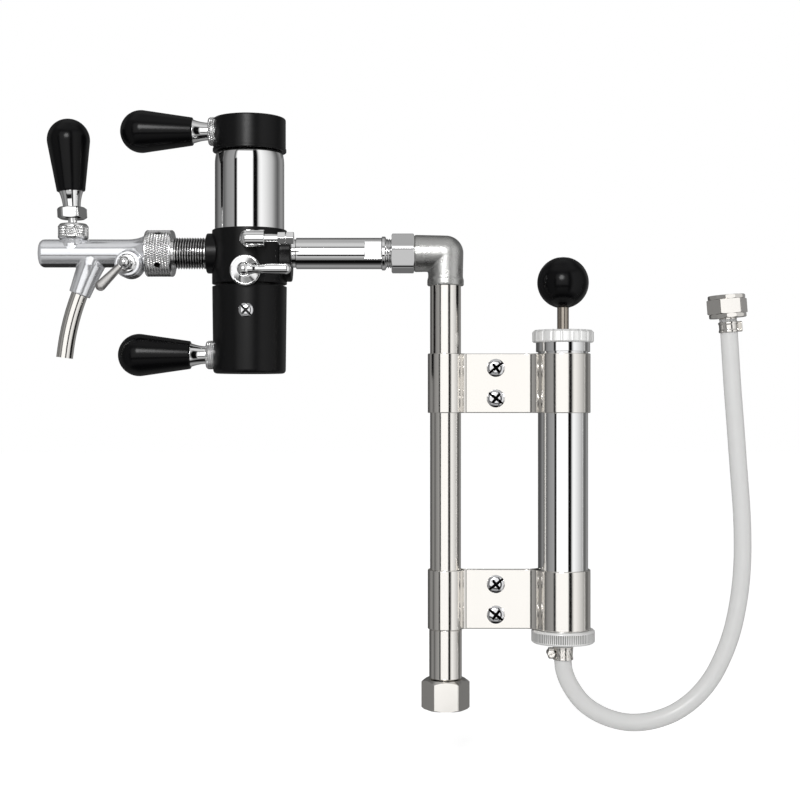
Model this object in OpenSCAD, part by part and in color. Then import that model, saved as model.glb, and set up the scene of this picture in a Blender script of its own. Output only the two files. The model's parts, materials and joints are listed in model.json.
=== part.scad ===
// Party pump for a beer keg: a hand pump clamped to a riser, a tap and a bottle filler.
// Lengths are in millimetres. The origin is the centre of the keg nut's lower face,
// +Z runs up the riser, +X runs to the pump and -Y faces the person who draws the drink.

/* [Layout] */
// Height of the axis that the tap, the valve block and the elbow share
axis_z = 313.4; // [300:0.1:330]
// Distance from the riser to the bottle filler
filler_reach = 135.1; // [130:0.1:150]
// Distance from the riser to the pump
pump_reach = 81; // [76:0.5:92]

/* [Keg coupling] */
// Keg nut, across its flats
keg_nut_af = 29; // [28:0.1:32]
// Keg nut, height
keg_nut_h = 20.5; // [18:0.1:24]
// Keg nut, minor radius of its G5/8 thread
keg_thread_r = 10.3; // [10:0.05:10.6]
// Keg nut, length of its thread
keg_thread_len = 8; // [6:0.1:10]
// Keg nut, thickness of its inner shoulder
keg_shoulder_t = 8.5; // [6:0.1:10]
// Keg gasket, thickness
keg_gasket_t = 1.5; // [1:0.1:2.5]
// Tailpiece, flange thickness
keg_flange_t = 2; // [1.5:0.1:2.4]
// Tailpiece, neck diameter
keg_neck_d = 14.5; // [13:0.1:16]
// Tailpiece, bore
keg_bore_d = 11; // [8:0.1:12]
// Tailpiece, wall of the sleeve round the riser
keg_sleeve_t = 0.55; // [0.4:0.05:1]

/* [Riser, elbow and union] */
// Riser pipe, outer diameter
riser_d = 21.3; // [20:0.1:22]
// Riser pipe, wall
riser_wall = 2; // [1:0.1:2.6]
// Elbow, wall round its two sockets
elbow_wall = 1.7; // [1.4:0.1:2.4]
// Elbow, drop from the axis to its lower rim
elbow_drop = 22.4; // [20:0.1:26]
// Elbow, reach from the riser to its left face
elbow_reach = 21.6; // [20:0.1:26]
// Elbow, depth of its two sockets
elbow_socket = 12; // [9:0.1:13]
// Elbow, height of the rolled rim
elbow_rim_h = 5; // [3:0.1:7]
// Union, hexagon across its flats
union_af = 24.8; // [23.5:0.1:27]
// Union, length of its hexagon
union_hex_l = 15.6; // [12:0.1:18]
// Union, length of the thread seen beside the hexagon
union_neck_l = 3.9; // [3:0.1:6]
// Union, diameter of its threads
union_thread_d = 20.3; // [18:0.1:21]
// Union, bore
union_bore_d = 13; // [10:0.1:14]
// Union, depth of the thread that takes the inlet tube
union_thread_l = 10; // [8:0.1:13]

/* [Inlet tube] */
// Inlet tube, outer diameter
inlet_d = 21.5; // [21:0.1:24]
// Inlet tube, diameter of its end ring
inlet_ring_d = 23.3; // [22.5:0.1:25]
// Inlet tube, width of its end ring
inlet_ring_l = 3.1; // [2:0.1:4]
// Inlet tube, chord of each wrench flat
inlet_flat_w = 12.5; // [8:0.1:14]
// Inlet tube, length of each wrench flat
inlet_flat_l = 11.5; // [8:0.1:16]
// Inlet tube, angle of the wrench flats above the front
inlet_flat_turn = 17; // [0:1:45]
// Inlet tube, width of the undercut beside the valve block
inlet_undercut_l = 2.9; // [2:0.1:4]
// Inlet tube, diameter of its undercut and its thread
inlet_thread_d = 19.5; // [17:0.1:20]

/* [Valve block] */
// Valve block, radius
block_r = 25.7; // [25:0.1:29]
// Valve block, height above the axis
block_above = 15.9; // [15:0.1:19]
// Valve block, height below the axis
block_below = 21.3; // [20.5:0.1:25]
// Valve block, rounding of its top edge
block_round = 1.5; // [0.5:0.1:1.8]
// Valve block, radius of the two side bosses
boss_r = 13.8; // [13:0.1:14.5]
// Valve block, reach of the two side bosses
boss_reach = 29.3; // [28:0.1:32]
// Valve block, drop of the right boss's second round
boss_drop = 5.7; // [0:0.1:7]
// Valve block, bevel of the bosses
boss_bevel = 1; // [0.3:0.1:1.5]
// Valve block, depth of the threads in the bosses
boss_thread_l = 13; // [10:0.1:15]
// Valve block, radius of the passages
passage_r = 4.5; // [3.5:0.1:5]
// Valve block, radius of the neck that carries the sleeve
neck_r = 19.8; // [19:0.1:20.5]
// Valve block, length of the neck
neck_l = 30.1; // [28:0.1:34]
// Valve block, depth of the screw's groove in the neck
groove_depth = 1.6; // [1:0.1:2.5]

/* [Selector head] */
// Head tube, radius
head_r = 23.8; // [23:0.1:24.2]
// Head tube, wall
head_wall = 1.5; // [1:0.1:2]
// Head tube, height seen above the valve block, up to the shoulder
head_h = 45.2; // [40:0.1:55]
// Head tube, height of the sloped shoulder
head_shoulder_h = 8.3; // [6:0.1:10]
// Head tube, radius of its flat top
head_top_r = 22.1; // [21:0.1:23]
// Head tube, depth of its seat in the valve block
head_seat = 5.3; // [4:0.1:5.5]
// Selector cap, radius
cap_r = 24.9; // [24:0.1:27]
// Selector cap, height
cap_h = 22.8; // [21.5:0.1:26]
// Selector cap, radius of its lower lip
cap_lip_r = 25.3; // [25:0.1:27.5]
// Selector cap, height of its lower lip
cap_lip_h = 2; // [1:0.1:3]
// Selector cap, height of its handle above its lower edge
cap_handle_z = 14.3; // [11.5:0.1:14.8]
// Selector stem, radius
stem_r = 5; // [4:0.1:6]
// Selector stem, radius of its ported plug
plug_r = 8.5; // [8:0.1:9]

/* [Handles] */
// Handle grip, length
grip_l = 50; // [45:0.1:60]
// Handle grip, radius of its ball end
grip_ball_r = 14.6; // [13:0.1:17]
// Handle grip, radius of its narrow end
grip_end_r = 9.6; // [9:0.1:11]
// Handle ferrule, length
ferrule_l = 11; // [9:0.1:14]
// Handle ferrule, radius beside the grip
ferrule_wide_r = 8.3; // [7.5:0.1:9]
// Handle ferrule, radius beside the locknut
ferrule_slim_r = 6; // [5:0.1:7]
// Handle ferrule, depth of the hollow in its side
ferrule_hollow = 0.5; // [0.2:0.1:0.8]
// Handle stud, radius
stud_r = 3; // [2.5:0.1:4]
// Handle locknut, radius
locknut_r = 9.9; // [9:0.1:10.8]
// Handle locknut, height
locknut_h = 6.2; // [5:0.1:8]
// Seat of the selector's handle, distance from the filler axis
cap_seat = 21.9; // [20:0.1:23]
// Seat of the sleeve's handle, distance from the filler axis
sleeve_seat = 23.4; // [22.5:0.1:24]

/* [Bottle sleeve] */
// Bottle sleeve, outer radius at the top
sleeve_r = 25.6; // [25.2:0.1:28]
// Bottle sleeve, outer radius at the bottom
sleeve_foot_r = 24.9; // [24.4:0.1:27]
// Bottle sleeve, height
sleeve_h = 59.9; // [56:0.1:66]
// Bottle sleeve, rounding of its lower edge
sleeve_round = 2.5; // [1:0.1:3.5]
// Bottle sleeve, radius of the bore that takes the bottle
mouth_r = 18; // [16:0.1:18.5]
// Gap seen between the valve block and the sleeve
sleeve_gap = 1.6; // [1:0.1:3]
// Height of the sleeve's handle above its lower edge
sleeve_handle_z = 12.8; // [12:0.1:20]
// Drop of the sleeve's screw below the valve block
sleeve_screw_drop = 19.1; // [15:0.1:22]
// Sleeve screw, head radius
sleeve_screw_r = 5; // [4:0.1:6]
// Bottle gasket, thickness
bottle_gasket_t = 2.4; // [1.5:0.1:2.6]
// Fill nozzle, outer radius
nozzle_r = 5.5; // [4.8:0.1:6.5]

/* [Vent] */
// Drop of the vent's axis below the tap axis
vent_drop = 13.9; // [12:0.1:15]
// Vent flange, radius
vent_flange_r = 10.3; // [9:0.1:11]
// Vent flange, thickness
vent_flange_t = 3.6; // [2.5:0.1:5]
// Vent flange, depth of its dished face
vent_dish = 1.6; // [0.8:0.1:2]
// Vent lever, hub radius
vent_hub_r = 4.6; // [4:0.1:6]
// Vent lever, spindle radius
vent_spindle_r = 2.5; // [2:0.1:3]
// Vent lever, reach from its axis
vent_reach = 31.5; // [26:0.1:40]
// Vent lever, thickness of its bar
vent_bar_t = 7.3; // [6:0.1:9]

/* [Gas fitting] */
// Rise of the gas fitting above the tap axis
gas_rise = 6.4; // [5:0.1:6.5]
// Offset of the gas fitting's stem from the filler axis
gas_offset = 2.3; // [0:0.1:4]
// Distance of the gas fitting's body in front of the filler axis
gas_front = 36; // [34:0.1:42]
// Gas fitting, body radius
gas_r = 5.65; // [5:0.05:7]
// Gas fitting, length of its body past the stem
gas_body_l = 11.3; // [9:0.1:14]
// Gas fitting, neck radius
gas_neck_r = 2.9; // [2.6:0.1:3.5]
// Gas fitting, neck length
gas_neck_l = 8.9; // [6:0.1:12]
// Gas fitting, hexagon across its flats
gas_hex_af = 8; // [7:0.1:10]
// Gas fitting, length of its hexagon
gas_hex_l = 10.6; // [8:0.1:14]
// Gas fitting, bore radius
gas_bore_r = 2.05; // [1.8:0.05:2.2]
// Gas fitting, depth of its bore
gas_bore_l = 12; // [8:0.1:16]

/* [Tap] */
// Tap shank, thread radius
shank_r = 10.8; // [10:0.1:11.4]
// Tap shank, length seen from the valve block to the nut
shank_l = 22.9; // [18:0.1:30]
// Tap shank, bore radius
shank_bore_r = 5; // [4:0.1:6]
// Coupling nut, radius
nut_r = 16; // [15.6:0.1:18]
// Coupling nut, length
nut_l = 18.9; // [16:0.1:22]
// Coupling nut, thickness of its inner lip
nut_lip_t = 3.5; // [2.5:0.1:4.5]
// Tap body, radius of its rear thread
tap_thread_r = 13.9; // [13.5:0.1:14.4]
// Tap body, barrel radius
barrel_r = 9.65; // [9.2:0.05:11]
// Tap body, length from the coupling nut's face to its far end
barrel_l = 73.5; // [70:0.1:80]
// Tap body, rounding of its far end
barrel_round = 3.5; // [1:0.1:5]
// Tap body, bore radius
barrel_bore_r = 6.5; // [6.4:0.05:7.2]
// Distance from the barrel's far end to the handle's pivot axis
pivot_in = 23; // [21:0.1:26]
// Height of the handle's pivot above the tap axis
pivot_rise = 12.4; // [11.8:0.1:13.5]
// Tap lever, ball radius
tap_ball_r = 5.6; // [5.2:0.1:5.9]
// Tap lever, stem radius
tap_stem_r = 3; // [2.5:0.1:3.2]
// Tap handle, lean to the left at rest
tap_lean = 2.9; // [0:0.1:4]
// Bonnet, radius
bonnet_r = 10.35; // [10:0.05:12]
// Bonnet, height
bonnet_h = 10.6; // [9.5:0.1:12]
// Height of the tap's locknut above the pivot
tap_locknut_rise = 11.2; // [10.8:0.1:14]
// Tap locknut, across its flats
tap_locknut_af = 18.4; // [17:0.1:19]
// Tap locknut, height
tap_locknut_h = 8.3; // [7:0.1:10]
// Nozzle, tilt from upright
nozzle_tilt = 21; // [15:1:25]
// Nozzle, radius where it leaves the barrel
nozzle_root_r = 9.4; // [8.5:0.1:9.6]
// Nozzle, radius at its end
nozzle_tip_r = 7.35; // [7:0.05:8]
// Nozzle, drop of its end below the tap axis
nozzle_drop = 28.4; // [26:0.1:32]
// Distance from the barrel's far end to the nozzle's end
nozzle_in = 27.3; // [24:0.1:30]
// Spout tube, outer radius
spout_r = 5.65; // [5:0.05:6]
// Spout tube, wall
spout_wall = 0.9; // [0.6:0.1:1.4]
// Spout tube, bend radius
spout_bend = 165; // [110:1:200]
// Spout tube, tilt of its straight end
spout_end_tilt = 7.5; // [4:0.5:10]
// Spout tube, length of its straight end
spout_end_l = 6; // [4:0.1:20]

/* [Flow control] */
// Distance from the coupling nut's face to the flow lever's axis
flow_in = 10.3; // [10:0.1:13]
// Drop of the flow lever's axis below the tap axis
flow_drop = 8.4; // [8:0.1:9]
// Flow boss, radius
flow_boss_r = 9.4; // [8.8:0.1:10.5]
// Flow boss, distance of its face in front of the tap axis
flow_boss_y = 16.5; // [14:0.1:19]
// Flow bush, radius of its ring
flow_bush_r = 6.6; // [6.2:0.1:7.5]
// Flow lever, ball hub radius
flow_hub_r = 3.9; // [3.4:0.1:4.6]
// Flow lever, distance of its hub in front of the tap axis
flow_hub_y = 27; // [24.5:0.1:30]
// Flow lever, length of its blade
flow_blade_l = 26; // [20:0.1:34]
// Flow lever, width of its blade's round end
flow_blade_w = 7.2; // [6:0.1:9]
// Flow lever, throw of its crank pin
flow_throw = 3.5; // [3.2:0.1:3.6]

/* [Clamps] */
// Clamp sheet, thickness
clamp_t = 1.6; // [1.2:0.1:2.2]
// Clamp, height
clamp_h = 40.9; // [34:0.1:46]
// Clamp, gap between its two halves
clamp_split = 1.6; // [1:0.1:3]
// Clamp, bend radius beside the riser
clamp_bend_riser = 3.7; // [3:0.1:5]
// Clamp, bend radius beside the pump
clamp_bend_pump = 11.4; // [6:0.1:14]
// Clamp screws, distance above and below the clamp's middle
screw_pitch = 10.5; // [8:0.1:13]
// Clamp screws, shank radius
screw_r = 3; // [2.5:0.1:3.2]
// Clamp screws, head radius
screw_head_r = 6.2; // [5:0.1:7]
// Clamp screws, head height
screw_head_h = 3; // [2:0.1:4]
// Clamp nuts, across flats
screw_nut_af = 10; // [9:0.1:11]
// Clamp nuts, height
screw_nut_h = 5; // [4:0.1:6]
// Gap between the pump's cap and the upper clamp
upper_clamp_gap = 1.1; // [0.5:0.1:10]
// Gap between the pump's base and the lower clamp
lower_clamp_gap = 0.4; // [0.3:0.1:10]

/* [Pump] */
// Height of the pump's base above the keg nut's face
pump_z = 45.5; // [42:0.1:50]
// Pump barrel, outer diameter
pump_d = 34.4; // [32:0.1:38]
// Pump barrel, wall
pump_wall = 1.5; // [1:0.1:2.5]
// Pump barrel, height from the base's lower face to the cap's skirt
pump_h = 200; // [190:0.5:225]
// Pump base, radius
base_r = 21.8; // [21:0.1:24]
// Pump base, height
base_h = 9; // [8:0.1:12]
// Pump base, floor thickness
base_floor = 3.5; // [3.2:0.1:4.5]
// Pump cap, rim radius
pump_cap_r = 21.1; // [20.5:0.1:24]
// Pump cap, rim height
pump_cap_h = 8.5; // [7:0.1:12]
// Pump cap, skirt radius
skirt_r = 18.6; // [18.3:0.1:20]
// Pump cap, skirt height
skirt_h = 6.5; // [5:0.1:9]
// Pump cap, number of flutes round its rim
cap_flutes = 20; // [12:1:28]
// Rod bush, radius
bush_r = 7.5; // [6.5:0.1:9]
// Pump rod, radius
rod_r = 4; // [3.5:0.1:5]
// Knob, radius
knob_r = 17.7; // [16:0.1:20]
// Stroke left below the knob at rest
knob_gap = 15.1; // [14.5:0.1:20]
// Piston, height of the nut's underside above the base's lower face at rest
piston_rise = 20.5; // [18:0.1:40]
// Piston, height
piston_h = 7; // [5:0.1:12]
// Piston cup, height
cup_h = 6; // [4:0.1:9]
// Piston cup, thickness
cup_t = 1.8; // [1.2:0.1:2.4]
// Piston nut, height
piston_nut_h = 3.2; // [2.5:0.1:5]

/* [Hose] */
// Hose, outer diameter
hose_d = 12; // [11:0.1:12.5]
// Hose, bore
hose_bore = 8; // [7:0.1:9]
// Hose clamp at the pump, thickness of its band
band_t = 1; // [0.6:0.1:1.5]
// Hose clamp at the pump, width of its band
band_w = 8.8; // [7:0.1:10]
// Crimp clamp at the hose's far end, width
crimp_w = 7.2; // [6:0.1:9]
// Hose nut, across its flats
hose_nut_af = 24.3; // [23:0.1:26]
// Hose nut, height
hose_nut_h = 15.7; // [14:0.1:20]
// Hose nut, minor radius of its G1/2 thread
hose_thread_r = 9.3; // [9:0.05:9.6]
// Hose nut, length of its thread
hose_thread_len = 9.5; // [7:0.1:10]
// Hose nut, height of each twelve-sided rim
hose_rim_h = 2.9; // [1.5:0.1:4]
// Hose tail, flange thickness
tail_flange_t = 2; // [1.5:0.1:2.4]
// Hose tail, depth of its barbs in the hose
tail_depth = 22; // [16:0.1:24]

/* [Fits] */
// Clearance between pieces that are screwed or pressed together
seat_gap = 0.05; // [0.02:0.01:0.08]
// Radial clearance of turning and sliding fits
run_gap = 0.05; // [0.03:0.01:0.08]
// Clearance between moving pieces that don't guide each other
free_gap = 0.4; // [0.3:0.05:0.5]

/* [Hidden] */

// Keg coupling, from the nut's lower face up
keg_shoulder_z = keg_nut_h - keg_shoulder_t;
keg_relief_r = keg_thread_r + 0.5;
keg_flange_z = keg_shoulder_z - free_gap - keg_flange_t;
keg_flange_r = keg_thread_r - 0.6;

// Riser, elbow and union
riser_r = riser_d / 2;
riser_bore_r = riser_r - riser_wall;
riser_foot_z = keg_nut_h + 5.5;
elbow_r = riser_r + elbow_wall;
elbow_rim_z = axis_z - elbow_drop;
riser_top_z = elbow_rim_z + elbow_socket;
union_r = union_thread_d / 2;
union_x = -elbow_reach;
union_hex_x = union_x - union_hex_l;
union_turn = 13.5;
inlet_ring_x = union_hex_x - union_neck_l;

// Filler, from its axis outward and from the tap axis up and down
filler_x = -filler_reach;
inlet_face_x = filler_x + boss_reach;
shank_face_x = filler_x - boss_reach;
block_top_z = axis_z + block_above;
block_foot_z = axis_z - block_below;
neck_foot_z = block_foot_z - neck_l;
head_foot_z = block_top_z - head_seat;
head_shoulder_z = block_top_z + head_h;
head_top_z = head_shoulder_z + head_shoulder_h;
cap_foot_z = head_top_z + free_gap;
cap_axis_z = cap_foot_z + cap_handle_z;
cap_top_z = cap_foot_z + cap_h;
plug_foot_z = axis_z - 2 * passage_r;
plug_top_z = head_foot_z - 1;
sleeve_top_z = block_foot_z - sleeve_gap;
sleeve_foot_z = sleeve_top_z - sleeve_h;
sleeve_axis_z = sleeve_foot_z + sleeve_handle_z;
sleeve_bore_r = neck_r + run_gap;
sleeve_step_z = neck_foot_z - bottle_gasket_t - 0.6;
sleeve_screw_z = block_foot_z - sleeve_screw_drop;
vent_z = axis_z - vent_drop;
gas_z = axis_z + gas_rise;
gas_stem_x = filler_x + gas_offset;
groove_half = 2.2;
nozzle_seat = 8;
vent_seat_y = block_r - 1.4;
vent_pad_r = 7;
vent_thread_r = 4.6;
vent_thread_l = 9;
vent_back_y = vent_seat_y + 1.8;
vent_front_y = vent_back_y + vent_flange_t;
gas_seat_y = block_r - 9;
gas_stem_r = 4;
sleeve_screw_y = sleeve_foot_r - 0.8;
sleeve_screw_tip_r = 1.7;

// Tap, from the valve block's left boss outward
nut_x = shank_face_x - shank_l;
nut_face_x = nut_x - nut_l;
nut_lip_x = nut_x - nut_lip_t;
hook_turn = 35;
shank_flange_t = 2.5;
tap_seat_x = nut_lip_x - shank_flange_t;
barrel_end_x = nut_face_x - barrel_l;
pivot_x = barrel_end_x + pivot_in;
pivot_z = axis_z + pivot_rise;
bonnet_foot_z = pivot_z - 2.6;
flow_x = nut_face_x - flow_in;
flow_z = axis_z - flow_drop;
nozzle_x = barrel_end_x + nozzle_in;
nozzle_z = axis_z - nozzle_drop;
valve_seat_x = nozzle_x + 16;
shank_tail_r = shank_r - 1.2;
spout_socket = 10;
bonnet_bore_r = 8.25;
flow_spindle_r = 2.2;

// Pump, from its base up
pump_r = pump_d / 2;
pump_bore_r = pump_r - pump_wall;
pump_foot_z = pump_z + base_floor;
skirt_z = pump_z + pump_h;
rim_z = skirt_z + skirt_h;
pump_top_z = rim_z + pump_cap_h;
knob_z = pump_top_z + knob_gap + knob_r;
piston_nut_z = pump_z + piston_rise;
cup_z = piston_nut_z + piston_nut_h;
piston_z = cup_z + cup_h;
rod_shoulder_z = piston_z + piston_h;
piston_nut_r = 6;
barb_thread_r = 5;
barb_bore_r = 2.4;

// Clamps, set by the pump's cap and base
upper_clamp_z = skirt_z - upper_clamp_gap - clamp_h;
lower_clamp_z = pump_z + base_h + lower_clamp_gap;
keg_sleeve_top_z = lower_clamp_z - 0.4;
clamp_web_y = clamp_split / 2;
clamp_face_y = clamp_web_y + clamp_t;
riser_saddle_r = riser_r + seat_gap;
pump_saddle_r = pump_r + seat_gap;
riser_bend_x = bend_x(riser_saddle_r + clamp_t, clamp_bend_riser);
pump_bend_x = pump_reach - bend_x(pump_saddle_r + clamp_t, clamp_bend_pump);
screw_x = (riser_bend_x + pump_bend_x) / 2;

// Hose: the middle of the tube, from the pump round below the origin and up to the nut
HOSE = [[81, 44.5], [81, 38], [81, 32], [82, 25], [86, 15.5], [94, 4.5], [105, -3.5],
  [118, -8.5], [131, -10], [145, -8], [159, -2.5], [172, 7], [183, 20], [191, 35],
  [197, 51], [201, 68], [203.5, 85], [204.7, 102], [204.8, 119], [204.2, 136],
  [203, 153], [201.7, 170], [200.5, 187], [199.2, 204], [197.9, 221], [196.8, 238],
  [196, 251], [195.4, 260], [194.8, 268]];
hose_sides = 12;
hose_end = HOSE[len(HOSE) - 1];
hose_lean = atan2(0.6, 8);
hose_start_z = HOSE[0][1];
nut_foot = 1;
nut_floor_t = hose_nut_h - hose_thread_len - 3;
tail_neck_r = 5.1;

// Distance from a tube's axis to the middle of the bend that leads into its saddle
function bend_x(saddle, bend) =
  sqrt(pow(saddle + bend, 2) - pow(clamp_face_y + bend, 2));

// Shapes that repeat

// A piece turned about +Z from its half profile
module turned() {
  rotate_extrude($fn = 96)
    children();
}

// A straight length of a turned profile
module band(r_in, r_out, z0, z1) {
  translate([r_in, z0])
    square([r_out - r_in, z1 - z0]);
}

// A half profile with a rounded upper edge
module rounded_band(r, z0, z1, round) {
  band(0, r, z0, z1 - round);
  band(0, r - round, z0, z1);
  translate([r - round, z1 - round])
    circle(r = round, $fn = 48);
}

// A hexagonal bar whose corners are turned down at one or both ends
module hex_bar(af, h, low = true, high = true) {
  corner = af / 2 / cos(30);
  drop = (corner - af / 2) * tan(30);
  face_r = af / 2 * 0.98;
  foot_r = low ? face_r : corner;
  top_r = high ? face_r : corner;
  foot_h = low ? drop * 1.3 : 0.01;
  top_h = high ? drop * 1.3 : 0.01;
  intersection() {
    cylinder(r = corner, h = h, $fn = 6);
    turned()
      polygon([[0, 0], [foot_r, 0], [corner, foot_h], [corner, h - top_h], [top_r, h], [0, h]]);
  }
}

// Things laid along -X, along +X and toward the front
module to_left(x, z) {
  translate([x, 0, z])
    rotate([0, -90, 0])
      children();
}

module to_right(x, z) {
  translate([x, 0, z])
    rotate([0, 90, 0])
      children();
}

module to_front(x, y, z) {
  translate([x, y, z])
    rotate([90, 0, 0])
      children();
}

// A handle grip: a ball end drawn in by a straight taper, with a blind hole for the stud
module grip() {
  ball_z = grip_l - grip_ball_r;
  reach = sqrt(pow(grip_end_r, 2) + pow(ball_z, 2));
  flare = asin(grip_ball_r / reach) - atan(grip_end_r / ball_z);
  side = sqrt(pow(reach, 2) - pow(grip_ball_r, 2));
  difference() {
    turned() {
      polygon([[0, 0], [grip_end_r, 0], [grip_end_r + side * sin(flare), side * cos(flare)],
        [0, ball_z]]);
      intersection() {
        translate([0, ball_z])
          circle(r = grip_ball_r, $fn = 96);
        band(0, grip_ball_r + 1, ball_z / 2, grip_l + 1);
      }
    }
    translate([0, 0, -1])
      cylinder(r = stud_r + seat_gap, h = grip_l / 2 + 1, $fn = 48);
  }
}

// A ferrule with a hollowed side and the stud that joins a handle's pieces
module ferrule(stud_down) {
  rise = ferrule_wide_r - ferrule_slim_r;
  chord = sqrt(pow(rise, 2) + pow(ferrule_l, 2));
  hollow_r = pow(chord, 2) / (8 * ferrule_hollow) + ferrule_hollow / 2;
  off = hollow_r - ferrule_hollow;
  turned() {
    difference() {
      polygon([[0, 0], [ferrule_slim_r, 0], [ferrule_wide_r, ferrule_l], [0, ferrule_l]]);
      translate([(ferrule_slim_r + ferrule_wide_r) / 2 + off * ferrule_l / chord,
          ferrule_l / 2 - off * rise / chord])
        circle(r = hollow_r, $fn = 180);
    }
    band(0, stud_r, -stud_down, ferrule_l + grip_l / 2 - 1);
  }
}

// A round locknut with a bulged side
module locknut() {
  bulge_r = 8;
  turned()
    difference() {
      intersection() {
        translate([locknut_r - bulge_r, locknut_h / 2])
          circle(r = bulge_r, $fn = 96);
        band(0, locknut_r, 0, locknut_h);
      }
      band(0, stud_r + seat_gap, -1, locknut_h + 1);
    }
}

// Keg coupling

module keg_nut() {
  color("silver")
    difference() {
      hex_bar(keg_nut_af, keg_nut_h, low = false);
      turned() {
        band(0, keg_thread_r, -1, keg_thread_len);
        band(0, keg_relief_r, keg_thread_len, keg_shoulder_z);
        band(0, keg_neck_d / 2 + free_gap, keg_shoulder_z - 1, keg_nut_h + 1);
      }
    }
}

module keg_gasket() {
  color("dimgray")
    turned()
      band(keg_bore_d / 2, keg_flange_r - 0.3, keg_flange_z - keg_gasket_t, keg_flange_z);
}

module keg_tailpiece() {
  sleeve_r0 = riser_r + seat_gap;
  color("lightgray")
    turned()
      difference() {
        union() {
          band(0, keg_flange_r, keg_flange_z, keg_flange_z + keg_flange_t);
          band(0, keg_neck_d / 2, keg_flange_z, keg_nut_h + 1);
          band(0, sleeve_r0 + keg_sleeve_t, keg_nut_h + 0.5, keg_sleeve_top_z);
        }
        band(0, keg_bore_d / 2, keg_flange_z - 1, riser_foot_z);
        band(0, sleeve_r0, riser_foot_z, keg_sleeve_top_z + 1);
      }
}

// Riser, elbow, union and inlet tube

module riser_pipe() {
  color("gainsboro")
    turned()
      band(riser_bore_r, riser_r, riser_foot_z, riser_top_z);
}

module elbow() {
  arm_r = elbow_r + 0.45;
  color("darkgray")
    difference() {
      union() {
        translate([0, 0, elbow_rim_z])
          cylinder(r = elbow_r, h = elbow_drop, $fn = 96);
        // The rolled rim
        translate([0, 0, elbow_rim_z])
          turned() {
            band(0, elbow_r + 0.3, 0, elbow_rim_h - 0.5);
            polygon([[0, 0], [elbow_r + 0.3, elbow_rim_h - 0.5], [elbow_r - 0.1, elbow_rim_h], [0, elbow_rim_h]]);
          }
        translate([0, 0, axis_z])
          sphere(r = elbow_r, $fn = 96);
        to_left(0, axis_z)
          cylinder(r1 = elbow_r, r2 = arm_r, h = elbow_reach, $fn = 96);
      }
      translate([0, 0, elbow_rim_z - 1])
        cylinder(r = riser_bore_r, h = elbow_drop + 1, $fn = 96);
      translate([0, 0, elbow_rim_z - 1])
        cylinder(r = riser_r + seat_gap, h = elbow_socket + 1, $fn = 96);
      translate([0, 0, axis_z])
        sphere(r = riser_bore_r, $fn = 96);
      to_left(0, axis_z)
        cylinder(r = riser_bore_r, h = elbow_reach + 1, $fn = 96);
      to_left(-elbow_reach + elbow_socket, axis_z)
        cylinder(r = union_r + seat_gap, h = elbow_socket + 1, $fn = 96);
    }
}

module hex_union() {
  color("gainsboro")
    difference() {
      union() {
        // A corner of the hexagon stands about 13 degrees above the front
        to_left(union_x, axis_z)
          rotate([0, 0, union_turn - 90])
            hex_bar(union_af, union_hex_l);
        to_left(union_x + elbow_socket - 0.5, axis_z)
          cylinder(r = union_r, h = elbow_socket, $fn = 96);
      }
      to_left(union_hex_x + union_thread_l, axis_z)
        cylinder(r = union_r + seat_gap, h = union_thread_l + 1, $fn = 96);
      to_left(0, axis_z)
        cylinder(r = union_bore_d / 2, h = filler_reach, $fn = 96);
    }
}

module inlet_tube() {
  thread_r = inlet_thread_d / 2;
  ring_left_x = inlet_ring_x - inlet_ring_l;
  tube_left_x = inlet_face_x + inlet_undercut_l;
  flat_d = sqrt(pow(inlet_d, 2) - pow(inlet_flat_w, 2)) / 2;
  color("gainsboro")
    difference() {
      union() {
        to_left(inlet_ring_x, axis_z)
          turned()
            polygon([[0, 0], [inlet_ring_d / 2 - 0.6, 0], [inlet_ring_d / 2, 0.8],
              [inlet_ring_d / 2, inlet_ring_l - 0.6], [inlet_d / 2 - 0.2, inlet_ring_l],
              [0, inlet_ring_l]]);
        // The thread that is screwed into the union
        to_left(union_hex_x + union_thread_l - 0.5, axis_z)
          cylinder(r = union_r, h = union_neck_l + union_thread_l + 0.5, $fn = 96);
        to_left(inlet_ring_x - 1, axis_z)
          cylinder(r = inlet_d / 2, h = inlet_ring_x - 1 - tube_left_x, $fn = 96);
        to_left(tube_left_x + 1, axis_z)
          cylinder(r = thread_r, h = inlet_undercut_l + boss_thread_l + 0.7, $fn = 96);
      }
      // Two wrench flats beside the end ring
      for (side = [0, 180])
        translate([ring_left_x, 0, axis_z])
          rotate([-inlet_flat_turn + side, 0, 0])
            translate([-inlet_flat_l, -inlet_d, -inlet_d / 2])
              cube([inlet_flat_l, inlet_d - flat_d, inlet_d]);
      to_left(0, axis_z)
        cylinder(r = union_bore_d / 2, h = filler_reach, $fn = 96);
    }
}

// Valve block and what it carries

// One of the block's two side bosses, standing on +Z
module side_boss() {
  turned()
    polygon([[0, 0], [boss_r, 0], [boss_r, boss_reach - boss_bevel], [boss_r - boss_bevel, boss_reach],
      [0, boss_reach]]);
}

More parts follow.
